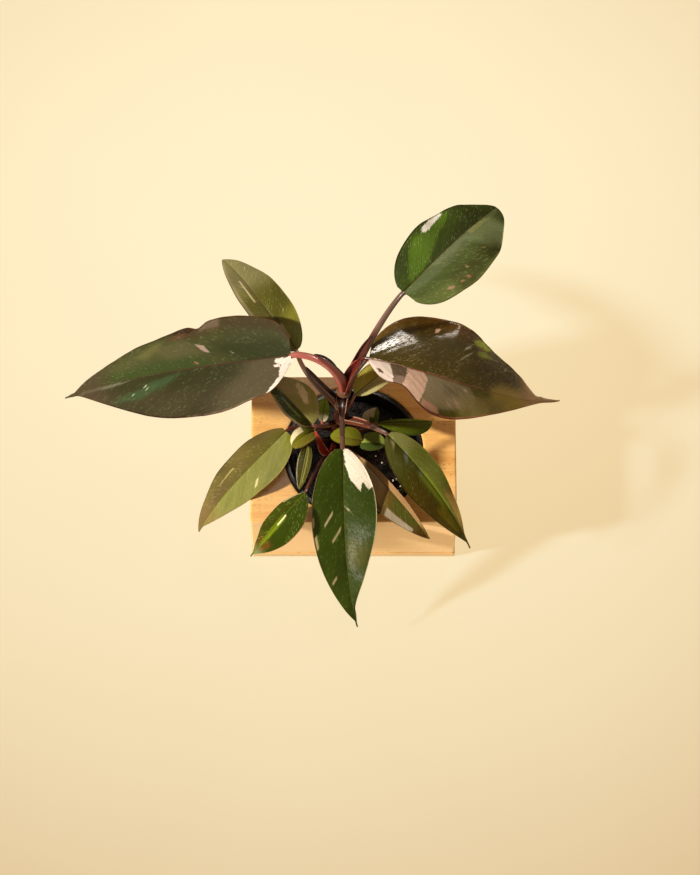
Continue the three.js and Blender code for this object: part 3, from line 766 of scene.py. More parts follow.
# arch, bow: how far the midrib's handles rise above its chord and lie left of it; roll: its turn
# width, widest, taper, tail: half widths, where they are largest, how they close, drawn-out tip
# fold, curl: lift of each half in degrees, and how it changes towards the edge; wave: height, count
# nick: side, place, depth and span of a bite; edges: side, place, bulge and span along the rim
# stalk: start and two handles; sheath: half width of its winged foot, and how far it reaches
# quilt: rise between veins; specks, flecks: share of cells that hold one; pebble: fine bumps
# coat: wet shine on the left half; sheathUp: where the sheath opens; wrapped: how far its red runs up
plainLeaf = {
    "bow": (0, 0), "roll": 0, "tail": (0, 0), "curl": (0, 0), "nick": None, "edges": (),
    "rim": "5a3a22", "rib": "4a4a20", "ribWidth": 0.7, "under": "5f4a2c", "veinGap": 6.5,
    "veinTone": 0.04, "mottle": 0.4, "quilt": 0.03, "specks": 0.22, "speckTone": "8a9a58",
    "flecks": 0, "fleckTone": "cdb98e", "gloss": 0.4, "shine": 0.06, "pebble": 0.3, "coat": 0,
    "coatRough": 0.12, "sheathTone": "4a1c14", "sheathUp": (0, 0, 1), "wrapped": 0, "marks": (),
}

leaves = {}
leaves["leaf_left_large"] = dict(
    size="large", slot="leaf_dark", seed=3,
    base=(-43, 40, 165), tip=(-213, 30, 104), arch=(12, 18), bow=(2, -2),
    width=(38, 35), widest=(0.42, 0.28), taper=(1.15, 0.85), tail=(0.05, 0.05),
    fold=(10, 10), curl=(-10, -10), wave=(1.5, 3), nick=(-1, 0.385, 0.11, 0.03),
    edges=[(1, 0.09, 6.5, 0.07), (1, 0.3, 2, 0.25), (-1, 0.02, -4.5, 0.02), (-1, 0.56, -2.5, 0.09)],
    stalk=((-7, 20, 137), (-8, 27, 164), (-24, 37, 172)), radius=(3.2, 2.3), sheath=(4.6, 0.75),
    left="3c3620", right="3d3f1e", rim="5a3422", rib="4a2c22", under="5a3626",
    speckTone="76805a",
    gloss=0.46, shine=0.12, pebble=0.5,
    stalkUp="a0544a", stalkDown="7a3228", stalkEdge="3a100a", sheathTone="561810",
    sheathUp=(0.3, 0.75, 0.6),
    marks=[
        band(-1, (60, 140), (0, 0.4), "34441a", soft=9, strength=0.7),
        band(-1, (60, 130), (0.35, 0.8), "4e4e2c", soft=9, strength=0.6),
        band(1, (-40, 44), (-0.1, 1.2), "5a5038", slant=0.4, soft=14, strength=0.75),
        band(1, (34, 150), (-0.1, 0.42), "2e3014", slant=0.4, soft=9, strength=0.75),
        band(-1, (-40, 40), (-0.1, 0.45), "2a2e10", soft=8, strength=0.75),
        band(-1, (-40, 56), (0.72, 1.2), "46341e", soft=6, strength=0.7),
        band(-1, (54, 84), (0.3, 0.7), "5c5434", soft=5, strength=0.5),
        patch([(78, -27), (69.5, -27.5), (60, -38), (53, -36), (54, -24), (62, -21.5), (78, -22.4)],
              "6a5846", soft=1.6, strength=0.8),
        patch([(91, -27.4), (84, -36), (72, -36), (73.5, -28.4), (78.5, -26.8)],
              "33200f", soft=0.8, strength=0.95),
        patch([(95.5, -25.6), (80.4, -27.2), (78.6, -23.8), (91, -23.4)],
              "5a3c28", soft=0.9, rag=0.9, spray=6, strength=0.85),
        patch([(118, -15), (104, -22), (97, -23), (101, -17), (110, -12.5)],
              "6a6434", soft=3, strength=0.55),
        patch([(72.6, -17.8), (66, -15.8), (61.3, -10), (66.2, -11.2)],
              "9a8474", soft=0.4, rag=0.25, spray=2.4),
        fleck((71.8, -3.6), (4.4, 1.3), "8a6444", soft=0.3, rag=0.2),
        fleck((45, -8), (3, 0.9), "8a8464", soft=0.3),
        patch([(142, 14.5), (126, 12), (114, 7.3), (100, 5), (106, 13.6), (117.3, 18.6), (135, 17.5)],
              "3c5230", soft=2, rag=0.8, spray=9, strength=0.7),
        patch([(114, 7.3), (93, 3.3), (84, 1.6), (92, 9), (106, 13.8)],
              "3c5230", soft=2, rag=0.8, spray=9, strength=0.7),
        fleck((112, 8.6), (4, 0.8), "a0aa88", soft=0.25, rag=0.2),
        fleck((110.5, 10.6), (3.4, 0.7), "a0aa88", soft=0.25, rag=0.2),
        fleck((122, 13.6), (3.2, 0.8), "90b078", soft=0.3, rag=0.2),
        patch([(126, 1.2), (166, 0.3), (170, 2), (140, 3.6)], "8a866c", soft=1, strength=0.55),
        band(0, (146, 240), (-0.1, 1.2), "483a2a", slant=0, soft=12, strength=0.7),
        band(1, (-60, 60), (0.975, 1.2), "c8a890", slant=0.5, soft=0.2, strength=0.6),
        band(-1, (-60, -6), (0.96, 1.2), "c89a84", slant=0.5, soft=0.4, strength=0.8),
        patch([(-3, 0.9), (13.6, 1.8), (14.2, 4.4), (11, 6.6), (-3, 12)], "f6e6d8", soft=0.25),
        patch([(-3, 5), (11.2, 6), (11.3, 9.6), (13.6, 12.3), (13.3, 18.7), (-3, 25)],
              "f6e6d8", soft=0.25),
        patch([(10, 6), (14.6, 6.6), (14.8, 8.2), (11, 8.8)], "f6e6d8", soft=0.25, rag=0.2),
        patch([(2, 12), (13.3, 17.5), (22.6, 30.5), (20, 38), (2, 34)], "f6e6d8", soft=0.25, rag=0.3),
    ],
)
leaves["leaf_back_right"] = dict(
    size="large", slot="leaf_green", seed=5,
    base=(35, 78, 188), tip=(105, 157.9, 162), arch=(8, 12),
    width=(27, 33), widest=(0.42, 0.42), taper=(0.75, 0.5),
    fold=(10, 10), curl=(-15, -15), wave=(1.5, 3),
    edges=[(-1, 0.88, -3.5, 0.12)],
    stalk=((-6, 21, 134), (1, 32, 163), (20, 60, 188)), radius=(3, 1.9), sheath=(4.4, 0.55),
    left="3c4b0e", right="505c2a", rim="4a3a20", rib="54442c",
    specks=0.3, speckTone="a0b070", flecks=0.04, fleckTone="7a8a46",
    gloss=0.5, shine=0.04, pebble=0.5,
    stalkUp="664a3e", stalkDown="38120a", stalkEdge="8a2a1c", sheathTone="481a10",
    sheathUp=(-0.4, -0.3, 0.9), wrapped=0.6,
    marks=[
        band(-1, (-40, 120), (0.03, 0.3), "6a7452", slant=0.6, soft=3, strength=0.5),
        band(-1, (26, 88), (0.55, 0.95), "3c3a10", slant=0.2, soft=6, strength=0.7),
        patch([(48, 1), (60, 6), (80, 10), (92, 12), (101, 0.2), (75, 0.2)],
              "353e0e", soft=2.5, strength=0.8),
        patch([(66, -4), (96, -3), (100, -20), (84, -30), (74, -20)], "7c8a5c", soft=4, strength=0.8),
        patch([(-6, 3), (13, 6.6), (29, 18.6), (38, 23.2), (50, 24), (51, 28), (38, 34), (-6, 34)],
              "38441a", soft=1, strength=0.85),
        patch([(10, 1), (13, 6), (29, 18), (37.5, 22.6),
               (48.7, 19.8), (53.5, 12.4), (33.4, 3.5), (24, 0.7)],
              "547018", soft=1.2, rag=0.8, spray=6),
        patch([(45, 21), (70, 23), (74.5, 20), (65, 15.5), (53, 12.2)],
              "547018", soft=1, rag=0.8, spray=5),
        patch([(39.5, 22.8), (49.5, 24), (60, 32), (71, 32), (70, 22.2), (57, 20), (49.4, 19.6)],
              "fffaf0", soft=0.3),
        patch([(73, 0.2), (92, -1.2), (96, -3.8), (80, -4.6), (72, -4)], "8a8e58", soft=0.8),
        patch([(30, -0.6), (72, -0.4), (72, -3.4), (50, -6), (34, -4)], "7c8460", soft=2, strength=0.6),
        # painted sheen: the outer part of the right half is painted lighter
        band(-1, (-20, 40), (0.6, 1.1), "687038", slant=0.3, soft=5, strength=0.6),
        fleck((26, -24), (6, 2.6), "b08a6c"),
        fleck((36, -26.3), (4, 1.6), "b8906c", soft=0.4),
        fleck((42.6, -26.6), (4, 2.2), "c08a64", soft=0.4),
        fleck((47.6, -20.3), (3, 1.4), "a08a5c", soft=0.4),
        fleck((68.8, -18.9), (3.4, 1.6), "9a8a50", soft=0.4),
    ],
)
leaves["leaf_right_large"] = dict(
    size="large", slot="leaf_dark", seed=8,
    base=(9, 37, 166), tip=(153, 33, 92), arch=(22, 22), bow=(-8, -24),
    width=(45, 33), widest=(0.36, 0.31), taper=(0.95, 2.3), tail=(0.14, 0.03),
    fold=(20, 10), curl=(-34, -10), wave=(2, 3), nick=(-1, 0.16, 0.42, 0.08),
    stalk=((-6, 20, 138), (-4, 25, 152), (1, 31, 160)), radius=(3.4, 2.6), sheath=(4.4, 0.9),
    left="4a3d09", right="5e5a1a", rim="7a4a30", rib="9a4a3c", under="8a4a34", veinTone=0.08, quilt=0.1,
    specks=0.35, speckTone="a89868", flecks=0.06, fleckTone="8a7c50",
    gloss=0.5, shine=0.05, pebble=1, coat=1, coatRough=0.13,
    stalkUp="561008", stalkDown="400c07", stalkEdge="b05a48", sheathTone="640e08",
    sheathUp=(-0.5, 0, 0.9),
    marks=[
        band(1, (-60, 70), (0.78, 1.2), "684614", slant=0.6, soft=9, strength=0.8),
        band(1, (60, 170), (0.88, 1.2), "5a4220", slant=0.3, soft=6, strength=0.7),
        patch([(77, 33.5), (86, 37), (97, 33), (92, 30), (80, 31)], "a0b41c", soft=1.2, spray=6),
        patch([(80, 25.6), (90, 28.6), (96, 25), (84, 23)], "809214", soft=1.2, spray=6),
        patch([(98, -8), (98, 2), (106, 7), (126, 5), (132, -4), (112, -12)],
              "a8924c", soft=5, strength=0.8),
        # painted highlight: these two pale streaks along the veins are painted glints
        fleck((74, 28.5), (11, 1.4), "a8a88a", soft=0.4),
        fleck((71, 19.5), (15, 1.4), "9a9c7c"),
        fleck((46, 33.5), (6, 2.2), "e0b89a", soft=0.4),
        fleck((110, 19), (5, 1.6), "a89070", soft=0.4),
        # grey-olive patch on the right half: partly the leaf's own grey tone, partly a painted sheen
        patch([(45, -0.4), (63, -0.4), (79, -1.8), (84, -10), (83, -18),
               (65, -24), (54, -28), (44, -22), (44, -4)],
              "98886a", soft=2.4, spray=8, strength=0.9),
        patch([(58, -5), (70, -6), (72, -12), (60, -13)], "6e6448", soft=2.5, strength=0.6),
        fleck((70, -17), (8, 2), "c8a488", soft=0.6),
        fleck((64, -20), (6, 1.8), "b89a7c", soft=0.6),
        fleck((76, -5), (4, 1.6), "b8a488"),
        fleck((83, -9), (4, 1.2), "a89878", soft=0.4),
        patch([(28, -0.5), (41.6, -0.4), (44.7, -2.8), (47.2, -8), (44.6, -17),
               (43.5, -26), (36, -30), (26, -18), (28, -8)],
              "e4bca4", soft=0.4),
        patch([(17.6, -0.8), (26.5, -0.4), (30.9, -3), (29, -11.5), (26, -19), (21, -12)],
              "66523c", rag=0.4),
        patch([(22, -9), (28.6, -8), (29.2, -12), (26, -20), (22, -14)], "957a6a", soft=0.6, rag=0.4),
        patch([(-6, 0.5), (14.8, 0.5), (17.5, -2), (19.4, -6.3), (21.2, -11), (22, -24), (-6, -24)],
              "fbe6d8", soft=0.35, rag=0.3),
        patch([(8, -6.4), (11.5, -7), (14, -9.8), (10.6, -9.4)], "6a4c2c", soft=0.3, rag=0.2),
        patch([(44, -22), (56, -26), (60, -36), (42, -36)], "d09a80", soft=0.8, strength=0.85),
        band(-1, (70, 112), (0.3, 1.2), "8c7c46", slant=0.2, soft=7, strength=0.7),
        band(-1, (26, 62), (0.93, 1.2), "6e3c28", slant=0.1, soft=0.6, strength=0.9),
        band(-1, (58, 140), (0.95, 1.2), "b8704c", slant=0, soft=0.4, strength=0.85),
        # the tip is painted lighter: partly its own pale brown, partly painted light
        band(0, (128, 220), (-0.1, 1.2), "b49068", slant=0, soft=9, strength=0.8),
    ],
)
leaves["leaf_back_left"] = dict(
    size="large", slot="leaf_olive", seed=13,
    base=(-41, 46, 157), tip=(-98, 138, 112), arch=(8, 12), bow=(0, -2),
    width=(14, 18), widest=(0.4, 0.4), taper=(0.8, 0.85),
    fold=(12, 12), curl=(-10, -10), wave=(1, 3),
    stalk=((-9, 17, 116), (-17, 20, 130), (-38, 30, 152)), radius=(2.6, 1.6), sheath=(4, 0.75),
    left="5e5826", right="504c1a", rim="6a5434", rib="6c5a3a",
    specks=0.3, flecks=0.06,
    stalkUp="b08470", stalkDown="3c160e", stalkEdge="6a3426", sheathTone="3c140c",
    sheathUp=(0.6, 0.3, 0.7), wrapped=0.7,
    marks=[
        band(0, (70, 140), (-0.1, 1.2), "7e7850", slant=0, soft=14, strength=0.8),
        # painted light: the right half near its foot is painted lighter, as if lit, where it lies in
        # shade
        band(-1, (-20, 26), (0.1, 1.2), "7c7a28", slant=0.6, soft=8, strength=0.8),
        band(1, (30, 110), (0.8, 1.2), "9a8a66", slant=0.2, soft=3, strength=0.6),
        band(1, (54, 82), (0.26, 0.34), "c8b88c", slant=0.3),
        band(-1, (12, 26), (0.06, 0.2), "a89872", slant=0.25, soft=0.7, rag=0.1),
        band(-1, (-6, 6), (0.75, 0.9), "6a8c18", slant=0.6, soft=1.2),
    ],
)
leaves["leaf_front"] = dict(
    size="large", slot="leaf_green", seed=17,
    base=(-8, -13, 118), tip=(3, -121, 22), arch=(8, 12), bow=(-3, -8),
    width=(24, 24), widest=(0.38, 0.38), taper=(1.2, 0.95), tail=(0.1, 0.04),
    fold=(10, 10), curl=(-12, -12), wave=(1, 3),
    stalk=((-8, 19, 132), (-9, 11, 156), (-8, -5, 137)), radius=(2.4, 1.8), sheath=(4.2, 0.55),
    left="34440e", right="35430b", rim="a89a74", rib="4c4a1e",
    speckTone="7a8c54",
    gloss=0.45, shine=0.05, pebble=0.5, coat=0.6, coatRough=0.24,
    stalkUp="5e3a2e", stalkDown="3a1810", stalkEdge="d8aa98", sheathTone="3c180e",
    sheathUp=(0, -0.3, 1), wrapped=0.55,
    marks=[
        patch([(-3, 0.6), (8.5, 1.3), (15.2, 1.8), (24.9, 5.4), (29, 9.2),
               (27.6, 13), (26, 26), (8, 24), (-3, 12)],
              "f4e8d4", soft=0.25, rag=0.35),
        patch([(22, 4), (33.8, 12.4), (27, 13.6)], "f4e8d4", soft=0.25, rag=0.2),
        patch([(24, 12.5), (32.6, 18.6), (28, 25), (22, 25)], "f4e8d4", soft=0.25, rag=0.2),
        band(1, (70, 92), (0.1, 0.9), "6e6a34", slant=0.3, soft=6, strength=0.5),
        band(-1, (34, 37), (0.35, 0.62), "a89a70", slant=1.6, soft=0.5),
        band(-1, (56, 59), (0.12, 0.42), "a89a70", slant=1.5, soft=0.5),
        band(-1, (34, 46), (0.88, 0.97), "a49668", slant=1.5),
        band(-1, (18, 26), (0.93, 0.99), "a49668", slant=1.5, soft=0.7),
        fleck((46.8, 2.8), (7, 1.4), "b0ac80", soft=0.4),
        band(-1, (86, 89), (0.5, 0.8), "9a8a62", slant=1.5, soft=0.6),
    ],
)
leaves["leaf_front_right"] = dict(
    size="large", slot="leaf_green", seed=23,
    base=(24, -4, 121), tip=(86, -74, 66), arch=(8, 12), bow=(4, 4),
    width=(13, 19), widest=(0.34, 0.4), taper=(1.2, 1), tail=(0.08, 0.05),
    fold=(10, 10), curl=(-10, -10), wave=(0.8, 3),
    stalk=((-9, 14, 99), (-2, 9, 112), (11, 2, 123)), radius=(2.4, 1.6), sheath=(3.4, 0.7),
    left="626624", right="4c4a0c", rim="5a4a24", rib="505a1c", quilt=0.06,
    gloss=0.3, shine=0.08, pebble=0.9,
    stalkUp="6c4a38", stalkDown="45241a", stalkEdge="a47660", sheathTone="5a2618",
    sheathUp=(0.1, 0.4, 0.9), wrapped=0.7,
    marks=[
        band(0, (38, 72), (-0.1, 0.2), "788420", slant=0.1, soft=4, strength=0.8),
        band(-1, (30, 95), (0.35, 1.2), "4e3e08", slant=0.6, soft=6, strength=0.85),
        band(1, (60, 130), (0.35, 1.1), "a88446", slant=0.3, soft=6, strength=0.75),
        band(1, (-20, 18), (0.1, 1.2), "8a8850", slant=0.3, soft=6, strength=0.6),
        band(-1, (66, 92), (0.05, 0.6), "706608", slant=0.3, soft=4, strength=0.75),
        # painted highlight: these three pale streaks by the midrib near the foot are painted glints
        fleck((8, -1.5), (9, 2.6), "a8a070", soft=1, strength=0.8),
        fleck((22, -1.2), (10, 2.6), "7c8a7c", soft=1, strength=0.7),
        fleck((38, -1), (7, 3), "76826a", soft=1, strength=0.7),
        band(-1, (-20, 22), (0.4, 1.2), "5c5e2a", slant=0.5, soft=6, strength=0.5),
    ],
)
leaves["leaf_left_low"] = dict(
    size="large", slot="leaf_olive", seed=29,
    base=(-49, 9, 94), tip=(-115, -57, 54), arch=(8, 10), bow=(0, -4),
    width=(20, 16), widest=(0.34, 0.4), taper=(0.9, 0.9), tail=(0.05, 0),
    fold=(10, 10), curl=(-10, -10), wave=(1, 3),
    stalk=((-11, 13, 80), (-20, 14, 90), (-36, 13, 96)), radius=(2, 1.4), sheath=(2.6, 0.4),
    left="7e7e3e", right="6a5e2e", rim="8a6a40", rib="6c6a24", veinTone=0.05,
    specks=0.2, speckTone="b4ac6c",
    shine=0.2, pebble=0.5,
    stalkUp="4a1c14", stalkDown="28100a", stalkEdge="6a3a28",
    marks=[
        band(-1, (-20, 30), (0, 0.5), "645e1e", slant=0.8, soft=8, strength=0.7),
        band(1, (-30, 8), (0.4, 1.2), "787a20", slant=0.3, soft=4, strength=0.8),
        band(-1, (42, 60), (0.5, 0.56), "b4a660", slant=0.7, soft=0.5),
        band(1, (24, 27), (0.55, 0.75), "d0c48a", slant=1.4, soft=0.5),
        band(-1, (58, 100), (0.1, 0.6), "645234", slant=0.2, soft=7, strength=0.6),
        band(0, (80, 120), (-0.1, 1.2), "8a7044", slant=0, soft=9, strength=0.6),
    ],
)
leaves["leaf_front_left"] = dict(
    size="large", slot="leaf_green", seed=31,
    base=(-35, -41, 98), tip=(-76, -78, 60), arch=(9, 11), bow=(1, 3),
    width=(17, 9), widest=(0.4, 0.45), taper=(1.05, 1.1), tail=(0.05, 0.05),
    fold=(10, 10), curl=(-10, -10), wave=(0.6, 3),
    stalk=((-13, 11, 68), (-22, 2, 62), (-28, -22, 90)), radius=(2, 1.4), sheath=(2.6, 0.3),
    left="303c08", right="3a400a", rim="7a5a34", rib="5c6810",
    specks=0.4, speckTone="8a9a44", flecks=0.04, fleckTone="5c7a24",
    stalkUp="5a2a20", stalkDown="2a100a", stalkEdge="7a4030",
    marks=[
        band(0, (24, 56), (-0.1, 0.16), "6c7c0e", slant=0, soft=3, strength=0.9),
        band(1, (22, 32), (0, 0.1), "d8d09a", slant=0.1),
        band(0, (46, 60), (0.2, 0.7), "6a3a18", slant=0.2, soft=4, strength=0.6),
        band(-1, (-10, 12), (0.9, 1.2), "e0cfa0", slant=0.6, soft=0.5),
        band(0, (58, 80), (-0.1, 1.2), "7c8258", slant=0, soft=5, strength=0.8),
    ],
)
leaves["leaf_right_folded"] = dict(
    size="large", slot="leaf_olive", seed=37,
    base=(4, -13, 95), tip=(56, -70, 76), arch=(7, 10), roll=20,
    width=(5, 17), widest=(0.4, 0.4), taper=(0.9, 0.9),
    fold=(25, 10), wave=(0.6, 3),
    stalk=((-11, 11, 68), (-7, 2, 76), (-2, -8, 91)), radius=(2, 1.4), sheath=(2.6, 0.4),
    left="8a7040", right="5e4a1a", rim="a88a5a", rib="5a5a1c",
    stalkUp="5a3018", stalkDown="2a140a", stalkEdge="7a4a30",
    marks=[
        band(1, (-10, 70), (0, 1.2), "96724c", slant=0, rag=0.3),
        band(-1, (40, 66), (0, 0.55), "50501c", slant=0.4, soft=3, strength=0.9),
        band(-1, (36, 64), (0.62, 1.2), "b4a48c", slant=0.6, soft=1.2, rag=0.2, strength=0.8),
        # painted light: the right half near its foot is painted lighter, as if lit, where it lies in
        # shade
        band(-1, (-10, 30), (0, 0.8), "bc9658", slant=0.6, soft=5, strength=0.7),
        band(0, (71, 90), (-0.1, 1.2), "4c2c10", slant=0, soft=4, strength=0.8),
    ],
)
leaves["leaf_left_inner"] = dict(
    size="large", slot="leaf_dark", seed=41,
    base=(-30, 5, 114), tip=(-64, 38, 124), arch=(6, 8),
    width=(11, 17), widest=(0.4, 0.4), taper=(0.9, 0.9),
    fold=(12, 12), wave=(0.6, 2),
    stalk=((-11, 14, 96), (-17, 8, 106), (-23, 4, 112)), radius=(1.9, 1.4), sheath=(2.6, 0.4),
    # the right half's pale olive is painted light: it is painted lighter, as if lit, where the large
    # left leaf shades it
    left="3c400e", right="968e50", rim="a08c64", rib="8a7c50",
    specks=0.4, speckTone="9aa458", flecks=0.06, fleckTone="7c9430",
    stalkUp="7a3a2c", stalkDown="3a1810", stalkEdge="b08068",
    marks=[
        patch([(46, -0.6), (28, -1), (25, -8), (31, -16), (46, -10)], "a8986a", soft=1.6, strength=0.7),
        patch([(31, -11), (29.5, -14.2), (20.6, -13.4), (14.3, -8.6), (15.4, -5.4), (22.7, -7.2)],
              "e0c8a0", rag=0.8, spray=5),
        band(1, (-20, 34), (0.85, 1.2), "b4a478", slant=0.4, soft=1.5, strength=0.7),
        band(1, (10, 30), (0.3, 0.42), "7c9430", slant=0.3, soft=1, strength=0.8),
    ],
)
leaves["leaf_back_inner"] = dict(
    size="small", slot="leaf_young", seed=43,
    base=(1, 20, 137), tip=(32, 45, 136), arch=(4, 4),
    width=(11, 10), widest=(0.45, 0.45), taper=(0.8, 0.8),
    fold=(15, 15), wave=(0.5, 2),
    stalk=((-8, 17, 112), (-3, 15, 122), (-2, 16, 132)), radius=(1.7, 1.2), sheath=(2.4, 0.4),
    # both halves' pale tones are partly the young leaf's own colour and partly painted light, lighter
    # where the large right leaf shades them
    left="aca044", right="a8a06a", rim="8a7a4a", rib="6a6424",
    stalkUp="7a3a22", stalkDown="4a1c10", stalkEdge="9a6a48",
)
leaves["leaf_small_upright"] = dict(
    size="small", slot="leaf_young", seed=47,
    base=(-23, 18, 88), tip=(-21, 26, 116), arch=(-2, -3),
    width=(5, 4.5), widest=(0.4, 0.4), taper=(0.6, 0.6),
    fold=(15, 15), wave=(0, 2),
    stalk=((-12, 13, 84), (-17, 15, 84), (-22, 16, 84)), radius=(2.4, 1.6), sheath=(2.8, 0.6),
    left="80923a", right="72822a", rim="7a8a44", rib="5a6a20",
    stalkUp="b06a54", stalkDown="7a3a2a", stalkEdge="c08a70",
    marks=[
        band(0, (-6, 8), (-0.1, 1.2), "d8d0a4", slant=0, soft=2, rag=0.3),
    ],
)
leaves["leaf_small_left"] = dict(
    size="small", slot="leaf_young", seed=53,
    base=(-29, 7, 96), tip=(-45, -4, 95), arch=(5, 5), roll=10,
    width=(9, 8), widest=(0.5, 0.5), taper=(0.5, 0.5),
    fold=(20, 20), wave=(0, 2),
    stalk=((-12, 13, 76), (-20, 15, 84), (-27, 12, 95)), radius=(1.6, 1.1), sheath=(2.2, 0.4),
    left="665e1a", right="605c14", rim="8a8040", rib="6c6c20", under="7a6a30",
    stalkUp="6a3a20", stalkDown="3a1c10", stalkEdge="a08058",
    marks=[
        band(-1, (8, 30), (0.4, 1.2), "dccca0", slant=0, rag=0.3),
    ],
)
leaves["leaf_small_hanging"] = dict(
    size="small", slot="leaf_olive", seed=59,
    base=(-34, -1, 88), tip=(-40, -34, 84), arch=(4, 4),
    width=(5.5, 5), widest=(0.4, 0.4), taper=(0.7, 0.7),
    fold=(10, 10), wave=(0, 2),
    stalk=((-13, 12, 66), (-22, 6, 76), (-32, 6, 86)), radius=(1.6, 1.1), sheath=(2.2, 0.4),
    left="544e1a", right="4c4a18", rim="7a6a3a", rib="8a8048",
    stalkUp="6a4a20", stalkDown="3a2410", stalkEdge="a08058",
    marks=[
        band(-1, (-10, 40), (0.86, 1.2), "e6d6b0", slant=0, soft=0.5, rag=0.1),
        band(1, (2, 30), (0.3, 0.45), "8a8a4a", slant=0.2),
    ],
)
leaves["leaf_small_right"] = dict(
    size="small", slot="leaf_green", seed=61,
    base=(17, 13, 96), tip=(58, 17, 90), arch=(4, 4), bow=(0, -2), roll=-20,
    width=(2.5, 11), widest=(0.5, 0.6), taper=(0.6, 0.7),
    fold=(20, 0), curl=(0, -30), wave=(0, 2),
    stalk=((-9, 14, 88), (0, 11, 92), (8, 12, 95)), radius=(1.6, 1.2), sheath=(2.2, 0.4),
    left="5a6820", right="505810", rim="6a7434", rib="3c440e",
    stalkUp="6a2a1c", stalkDown="3a140c", stalkEdge="a06a54",
    marks=[
        band(-1, (16, 50), (0.7, 1.2), "4a5c18", slant=0.2, soft=3, strength=0.7),
    ],
)
leaves["leaf_tiny_back"] = dict(
    size="small", slot="leaf_young", seed=67,
    base=(14, 16, 84), tip=(17, 25, 98), arch=(1, 1),
    width=(9, 3.5), widest=(0.5, 0.5), taper=(0.7, 0.5),
    fold=(20, 20), wave=(0, 2),
    stalk=((-10, 13, 78), (0, 13, 80), (9, 13, 80)), radius=(1.4, 1), sheath=(1.8, 0.4),
    left="b8ac90", right="66742c", rim="8a8a5a", rib="5a6428",
    stalkUp="6a3a24", stalkDown="3a1c10", stalkEdge="9a7458",
    marks=[
        band(1, (-8, 8), (0, 0.4), "4e5a20", slant=0.2, soft=1, rag=0.3),
    ],
)
leaves["leaf_small_centre"] = dict(
    size="small", slot="leaf_young", seed=71,
    base=(6, 0, 96), tip=(-17, 2, 99), arch=(3, 3),
    width=(7, 8), widest=(0.45, 0.45), taper=(0.6, 0.6),
    fold=(12, 12), wave=(0, 2),
    stalk=((-8, 12, 72), (4, 10, 80), (9, 4, 94)), radius=(1.4, 1), sheath=(1.8, 0.4),
    left="84801e", right="74761a", rim="8a7a3a", rib="8a8434",
    specks=0.3,
    stalkUp="6a3a20", stalkDown="3a1c10", stalkEdge="a08058",
    marks=[
        band(0, (4, 20), (0.1, 0.4), "7c7a1c", slant=0.3, soft=1.5),
    ],
)
leaves["leaf_small_oval"] = dict(
    size="small", slot="leaf_green", seed=73,
    base=(5, 3, 82), tip=(23, 0, 88), arch=(3, 3),
    width=(8, 7), widest=(0.5, 0.5), taper=(0.5, 0.5),
    fold=(10, 10), wave=(0, 2),
    stalk=((-8, 12, 68), (-2, 9, 74), (2, 5, 80)), radius=(1.4, 1), sheath=(1.8, 0.4),
    # painted light and shade: the left half, which lies in shade, is painted lighter and the lit right
    # half darker
    left="7c8c3c", right="3e4c1a", rim="a0925c", rib="7a7a34",
    specks=0.2,
    stalkUp="7a5a30", stalkDown="3a2410", stalkEdge="c0a47c",
)

# thick, thinEdge: at the midrib and at the rim; least: narrowest half width
# from, to: share of the midrib that the blade covers; evenness: how even its rows are
# gather: how close its columns are at the midrib; rimRound: how far the round edge stands out
# drip: the drawn-out tip; crease: groove over the midrib; buckle: height of soft dents
# rib: the ridge below the midrib, its height as a share of the stalk, its span along the midrib
blade = {
    "thick": 0.62, "thinEdge": 0.3, "least": 0.5, "from": 0.012, "to": 0.995, "evenness": 0.4,
    "gather": 1.25, "rimRound": 0.12, "dripWidth": 0.6, "dripStart": 8, "dripClose": 1.2,
    "crease": 0.35, "buckle": 0.16, "ribHeight": 0.9, "ribSpan": (0.03, 0.34),
}
# end: share of its path that a stalk covers; turn: where its top begins to face as the blade does
# flat: height of its upper side; scale: what the paint's map adds from its foot to the blade
stalks = {"end": 0.985, "turn": 0.7, "flat": 0.7, "scale": 6}
# closing: last share of a sheath, which narrows; wall: its thickness
# shares of a stalk's radius: depth, rise; wings: their lift as a share of the half width
sheaths = {"closing": 0.25, "depth": 0.9, "rise": 0.8, "wall": 0.45, "wings": 0.5}
# rows and half the columns of a blade, rings of its stalk and of the rib below it
fineness = {"large": (150, 23, 46, 16), "small": (80, 14, 30, 10)}
print("settings ready")


def bladeShape(u, widest, taper, tail):
    rise = taper * widest / (1 - widest)
    peak = widest ** rise * (1 - widest) ** taper
    t = np.clip(u / (1 - tail), 0, 1)
    body = t ** rise * (1 - t) ** taper / peak
    closing = np.clip(blade["dripClose"] * (1 - u) / tail, 0, 1) if tail > 0 else 0
    return np.hypot(body, blade["dripWidth"] * tail * np.minimum(1, blade["dripStart"] * u) * closing)


def bladeFrame(leaf):
    base, tip = np.array(leaf["base"], float), np.array(leaf["tip"], float)
    chord = unit(tip - base)
    above = unit(upward - chord * chord[2])
    left = np.cross(above, chord)
    handles = [
        base + (tip - base) * share + above * leaf["arch"][k] + left * leaf["bow"][k]
        for k, share in enumerate((1 / 3, 2 / 3))
    ]
    return [base, *handles, tip], turned(above, chord, leaf["roll"])


